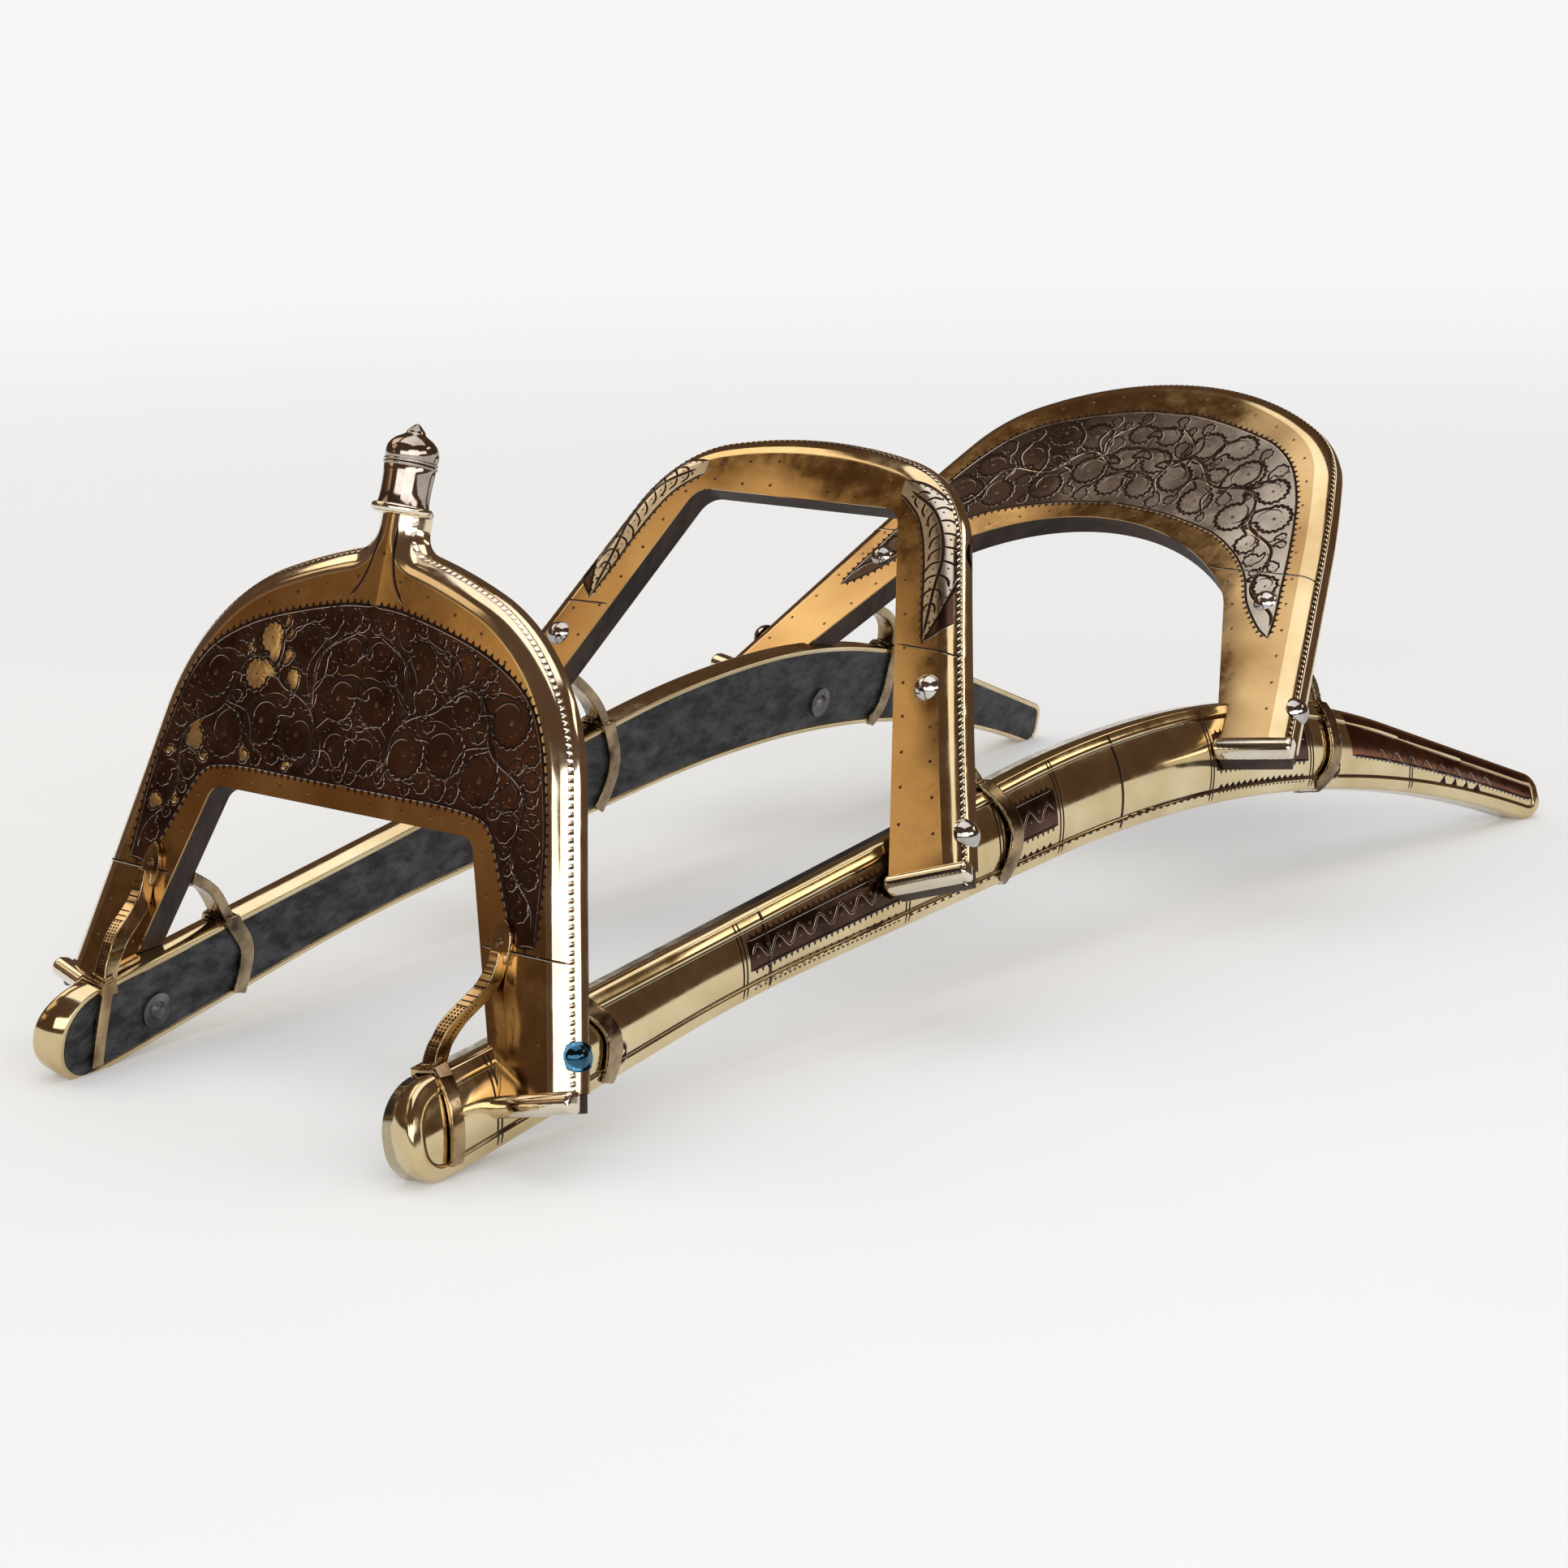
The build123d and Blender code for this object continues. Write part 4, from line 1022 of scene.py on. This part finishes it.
# Softly rounded copies of the forged pieces
def softened(node_name, finish, cell, rounds, grow=0.0):
    # Even cells of this size, swollen by the growth, then smoothed in some rounds.
    source = nodes[node_name]
    obj = new_object("soft_" + node_name, source.data.copy())
    obj.matrix_world = source.matrix_world
    remesh = obj.modifiers.new("even_cells", "REMESH")
    remesh.mode = "VOXEL"
    remesh.voxel_size = cell * MM
    swelling = obj.modifiers.new("swelling", "DISPLACE")
    swelling.mid_level = 0.0
    swelling.strength = grow * MM
    rounding = obj.modifiers.new("rounding", "SMOOTH")
    rounding.iterations = rounds
    bpy.context.view_layer.update()
    shaped = bpy.data.meshes.new_from_object(obj.evaluated_get(bpy.context.evaluated_depsgraph_get()))
    obj.modifiers.clear()
    obj.data = shaped
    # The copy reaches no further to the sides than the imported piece.
    reach = max(abs(v.co.x) for v in source.data.vertices)
    for v in shaped.vertices:
        v.co.x = max(-reach, min(reach, v.co.x))
    shaped.materials.clear()
    shaped.materials.append(finish)
    shaped.polygons.foreach_set("use_smooth", [True] * len(shaped.polygons))
    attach(obj, "root")
    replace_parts(obj, node_name)
    return obj


for side_name in ("left", "right"):
    for name in ARCHES:
        softened(side_name + "_" + name + "_brace", IRON, cell=0.55, rounds=5)
        bar = side_name + "_" + name + "_foot_bar"
        softened(bar, PALE_BRASS, cell=0.4, rounds=10, grow=0.75)
softened("front_leg_studs", BLUED, cell=0.3, rounds=4, grow=-1.1)


# Goosenecks: rounded, with rows of punch marks and two bands of finer punch marks
MARKS = Pile()


def draped(tree, at, toward, radius, height):
    # A small mark on a piece's surface, where a line from outside meets it.
    spot, normal = tree.ray_cast(Vector(at) * MM, Vector(toward))[:2]
    if spot is None:
        return
    across = normal.orthogonal().normalized()
    up_dir = normal.cross(across)
    ring = []
    for t in np.linspace(0, math.tau, 6, False):
        ring.append(spot + (across * math.cos(t) + up_dir * math.sin(t)) * radius * MM + normal * 0.03 * MM)
    MARKS.fan([np.array(v) for v in ring], np.array(spot + normal * height * MM))

# Middle line of the left hook's riser from the strap to the leaf, and of its strap
HOOK_SHARES = [0, 0.28, 0.46, 0.68, 0.88, 1]
HOOK_X = [99.7, 100.2, 102.1, 104.8, 106.5, 106.4]
HOOK_Y = [-363, -362, -357, -347.7, -338.5, -333]
HOOK_Z = [34, 48.5, 55.7, 62.7, 70, 78.5]
STRAP_Y = [-373.5, -372.5, -371, -370]
STRAP_Z = [5, 22, 36, 48]


def hook_middle(share):
    return [np.interp(share, HOOK_SHARES, places) for places in (HOOK_X, HOOK_Y, HOOK_Z)]


def slimmed(obj, sign):
    # A narrower riser, leaf and strap about the same middle lines.
    points = np.array([v.co[:] for v in obj.data.vertices]) / MM
    x, y, z = sign * points[:, 0], points[:, 1], points[:, 2]
    riser = np.clip((z - 40) / 12, 0, 1)
    thinned = riser * np.clip((76 - z) / 8, 0, 1)
    x = x + (np.interp(z, HOOK_Z, HOOK_X) - x) * 0.32 * riser
    y = y + (np.interp(z, STRAP_Z, STRAP_Y) - y) * 0.3 * (1 - riser)
    y = y + (np.interp(z, HOOK_Z, HOOK_Y) - y) * 0.25 * thinned
    obj.data.vertices.foreach_set("co", (np.stack([sign * x, y, z], 1) * MM).ravel())
    obj.data.update()


def punched(hook, sign):
    # Rows of dots up the front and both sides of the riser, then two bands of finer dots.
    points = [v.co[:] for v in hook.data.vertices]
    tree = BVHTree.FromPolygons(points, [p.vertices[:] for p in hook.data.polygons])
    for share in np.arange(0.1, 0.62, 0.03):
        x, y, z = hook_middle(share)
        for across in (-1.8, 0.0, 1.8):
            draped(tree, (sign * (x + across), y - 30, z + 18), (0, 0.857, -0.514), 0.6, 0.2)
        for across in (-2.2, 2.2):
            draped(tree, (sign * (x + 30), y + across * 0.8, z + across), (-sign, 0, 0), 0.5, 0.16)
    for centre in (0.66, 0.84):
        for share in np.arange(centre - 0.05, centre + 0.051, 0.05):
            x, y, z = hook_middle(share)
            for across in np.linspace(-2.8, 2.8, 10):
                draped(tree, (sign * (x + across), y - 20, z + 20), (0, 0.707, -0.707), 0.42, 0.2)


for side_name, sign in (("left", 1), ("right", -1)):
    hook = softened(side_name + "_gooseneck", HOOK_BRASS, cell=0.35, rounds=12)
    slimmed(hook, sign)
    punched(hook, sign)
MARKS.make("punch_marks", [GROOVE], "dark_steel")


# Turned finial: collar, waisted sleeve and pointed cap, each smooth
NECK_TOP = 250.0
FINIAL_DEPTH = 5.8


def turned(name, profile, finish, replaced):
    # profile: radius and height over the neck.
    pile = Pile()
    radii, heights = np.array(profile).T[:, :, None]
    turns = np.linspace(0, math.tau, 73)[None]
    across = radii * np.cos(turns)
    up_dir = heights + NECK_TOP + 0 * turns
    out = radii * np.sin(turns) - FINIAL_DEPTH
    rows = np.stack([across, up_dir, out], 2)
    pile.grid([ARCHES["front"]["plane"].world(row) for row in rows])
    obj = pile.make(name, [finish], "edge_brass")
    obj.data.set_sharp_from_angle(angle=math.radians(50))
    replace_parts(obj, replaced)


def ring_profile(radius, low, high, bulge):
    # A half-round bead that stands on a radius.
    middle, half = (low + high) / 2, (high - low) / 2
    turns = np.linspace(-math.pi / 2, math.pi / 2, 9)
    return [(radius + bulge * math.cos(t), middle + half * math.sin(t)) for t in turns]


COLLAR = [(6, 0), (11.2, 0)] + ring_profile(11.8, 0.2, 4.0, 1.4) + [(9, 4.2)]
SLEEVE = [(9, 3.9), (11.0, 4.0), (10.6, 6.0), (10.5, 9.0), (10.6, 13.0), (10.8, 17.0), (11.0, 20.0)]
SLEEVE += ring_profile(10.9, 20.2, 21.4, 0.7) + [(9, 21.9)]
CAP = [(9, 21.6)] + ring_profile(10.9, 21.7, 23.0, 0.6)
CAP += [(11.1, 23.4), (11.3, 25.0), (11.2, 26.6), (10.8, 28.4), (9.7, 30.2), (7.9, 31.9), (6.0, 33.0)]
CAP += [(4.6, 33.9), (4.1, 34.3), (4.0, 35.0), (3.3, 35.9), (2.3, 36.9), (1.5, 37.7), (0.8, 38.3)]
CAP.append((0.0, 38.45))
turned("finial_ring_skin", COLLAR, PALE_BRASS, "finial_collar")
turned("finial_sleeve_skin", SLEEVE, FINIAL, "finial_sleeve")
turned("finial_cap_skin", CAP, FINIAL, "finial_cap")

# Materials of the frame's own pieces: the last entry that fits a node's name counts
FINISH = {
    "board": ARCH_WOOD, "runner_board": RUNNER_WOOD, "strip": EDGE_HIGHLIGHT_BRASS, "foot_bar": PALE_BRASS,
    "brace": IRON, "gooseneck": HOOK_BRASS, "finial": FINIAL, "washers": STEEL, "bolts": STEEL,
    "studs": SILVER, "front_leg_studs": BLUED, "rivets": SILVER, "nails": NAIL, "sheet": ARCH_BRASS,
    "edging": RUNNER_BRASS,
}
for node_name, obj in nodes.items():
    for key, value in FINISH.items():
        if key in node_name:
            finish = value
    obj.data.materials.clear()
    obj.data.materials.append(finish)

# Floor, light and camera. The floor fades from a lit surface into an even glow.
FADE_RADIUS = 4.0
FLOOR_REACH = 400.0
floor, tree, shader = material("pale_floor", (0.75, 0.75, 0.75), 0.0, 0.9)
grain = ramp(tree, noise(tree, 3.0), [(0.3, (0.74, 0.74, 0.74)), (0.7, (0.76, 0.76, 0.76))])
tree.links.new(grain, shader.inputs["Base Color"])
glow = add(tree, "Emission", Strength=1.0, Color=(0.93, 0.93, 0.93, 1))
where = add(tree, "TexCoord").outputs["Object"]
shrunk = add(tree, "Mapping", Scale=[1 / FADE_RADIUS] * 3, Vector=where).outputs["Vector"]
fade = add(tree, "TexGradient", gradient_type="QUADRATIC_SPHERE", Vector=shrunk)
blend = add(tree, "MixShader", Fac=fade.outputs["Fac"])
tree.links.new(glow.outputs["Emission"], blend.inputs[1])
tree.links.new(shader.outputs["BSDF"], blend.inputs[2])
tree.links.new(blend.outputs["Shader"], tree.nodes["Material Output"].inputs["Surface"])
mesh = bpy.data.meshes.new("floor")
corners = [(x * FLOOR_REACH, y * FLOOR_REACH, 0) for x, y in ((-1, -1), (1, -1), (1, 1), (-1, 1))]
mesh.from_pydata(corners, [], [(0, 1, 2, 3)])
mesh.materials.append(floor)
new_object("floor", mesh)

# Dim warm light from all round, which is white where the metal mirrors it
world = bpy.data.worlds.new("studio")
bpy.context.scene.world = world
world.use_nodes = True
tree = world.node_tree
room = tree.nodes["Background"]
room.inputs["Color"].default_value = (0.1, 0.06, 0.04, 1)
room.inputs["Strength"].default_value = 1.0
white = add(tree, "Background", Strength=0.62, Color=(1, 1, 1, 1))
mirrored = add(tree, "LightPath").outputs["Is Glossy Ray"]
mix = add(tree, "MixShader", Fac=mirrored)
tree.links.new(white.outputs["Background"], mix.inputs[1])
tree.links.new(room.outputs["Background"], mix.inputs[2])
tree.links.new(mix.outputs["Shader"], tree.nodes["World Output"].inputs["Surface"])


def softbox(name, place, width, height, power, color=(1, 1, 1), target=(0, 0, 0.15)):
    # A rectangular lamp that looks at a target.
    lamp = bpy.data.lights.new(name, "AREA")
    lamp.shape = "RECTANGLE"
    lamp.size, lamp.size_y, lamp.energy, lamp.color = width, height, power, color
    obj = new_object(name, lamp)
    obj.location = place
    obj.rotation_euler = (Vector(target) - Vector(place)).to_track_quat("-Z", "Y").to_euler()


softbox("overhead", (0.0, 0.2, 2.2), 2.2, 2.2, 20, target=(0, 0, 0))
softbox("camera_side", (1.9, -1.6, 1.0), 1.9, 1.3, 18)
softbox("right_back", (1.7, 1.9, 1.9), 1.3, 0.35, 4.0, (1.0, 0.88, 0.68))
softbox("front_card", (0.5, -2.4, 0.85), 1.6, 0.9, 9)
softbox("right_card", (2.5, -0.1, 1.0), 1.8, 0.6, 9)
softbox("high_left", (-1.9, -0.2, 1.9), 1.3, 1.1, 7, (1.0, 0.86, 0.66), (0, 0, 0.1))
softbox("amber_left", (-1.5, -1.3, 1.45), 0.9, 0.7, 1.7, (1.0, 0.78, 0.5), (0, 0, 0.1))
softbox("gold_left", (-1.4, -1.96, 0.85), 0.45, 0.3, 0.24, (1.0, 0.74, 0.4), (0, -0.3, 0.2))
softbox("low_left", (-1.7, -1.7, 0.7), 0.9, 0.5, 0.17, (1.0, 0.6, 0.3))

# Camera: where it stands in millimetres, the way that it looks and its focal length in pixels
CAMERA_PLACE = (1022.1, -1245.8 + SHIFT, 450.9)
FOCAL_PIXELS = 4200.0
IMAGE_PIXELS = 1932.0
azimuth, elevation, roll = math.radians(40.21), math.radians(13.33), math.radians(-1.0)
level = math.cos(elevation)
back = Vector((math.sin(azimuth) * level, -math.cos(azimuth) * level, math.sin(elevation)))
right = Vector((math.cos(azimuth), math.sin(azimuth), 0))
up = back.cross(right)
rolled_right = math.cos(roll) * right + math.sin(roll) * up
rolled_up = -math.sin(roll) * right + math.cos(roll) * up
camera_data = bpy.data.cameras.new("camera")
camera_data.sensor_width = 36.0
camera_data.lens = FOCAL_PIXELS / IMAGE_PIXELS * camera_data.sensor_width
camera = new_object("camera", camera_data)
place = Vector(CAMERA_PLACE) * MM
rows = [(rolled_right[k], rolled_up[k], back[k], place[k]) for k in range(3)]
camera.matrix_world = Matrix(rows + [(0, 0, 0, 1)])
bpy.context.scene.camera = camera
bpy.context.scene.view_settings.view_transform = "Standard"
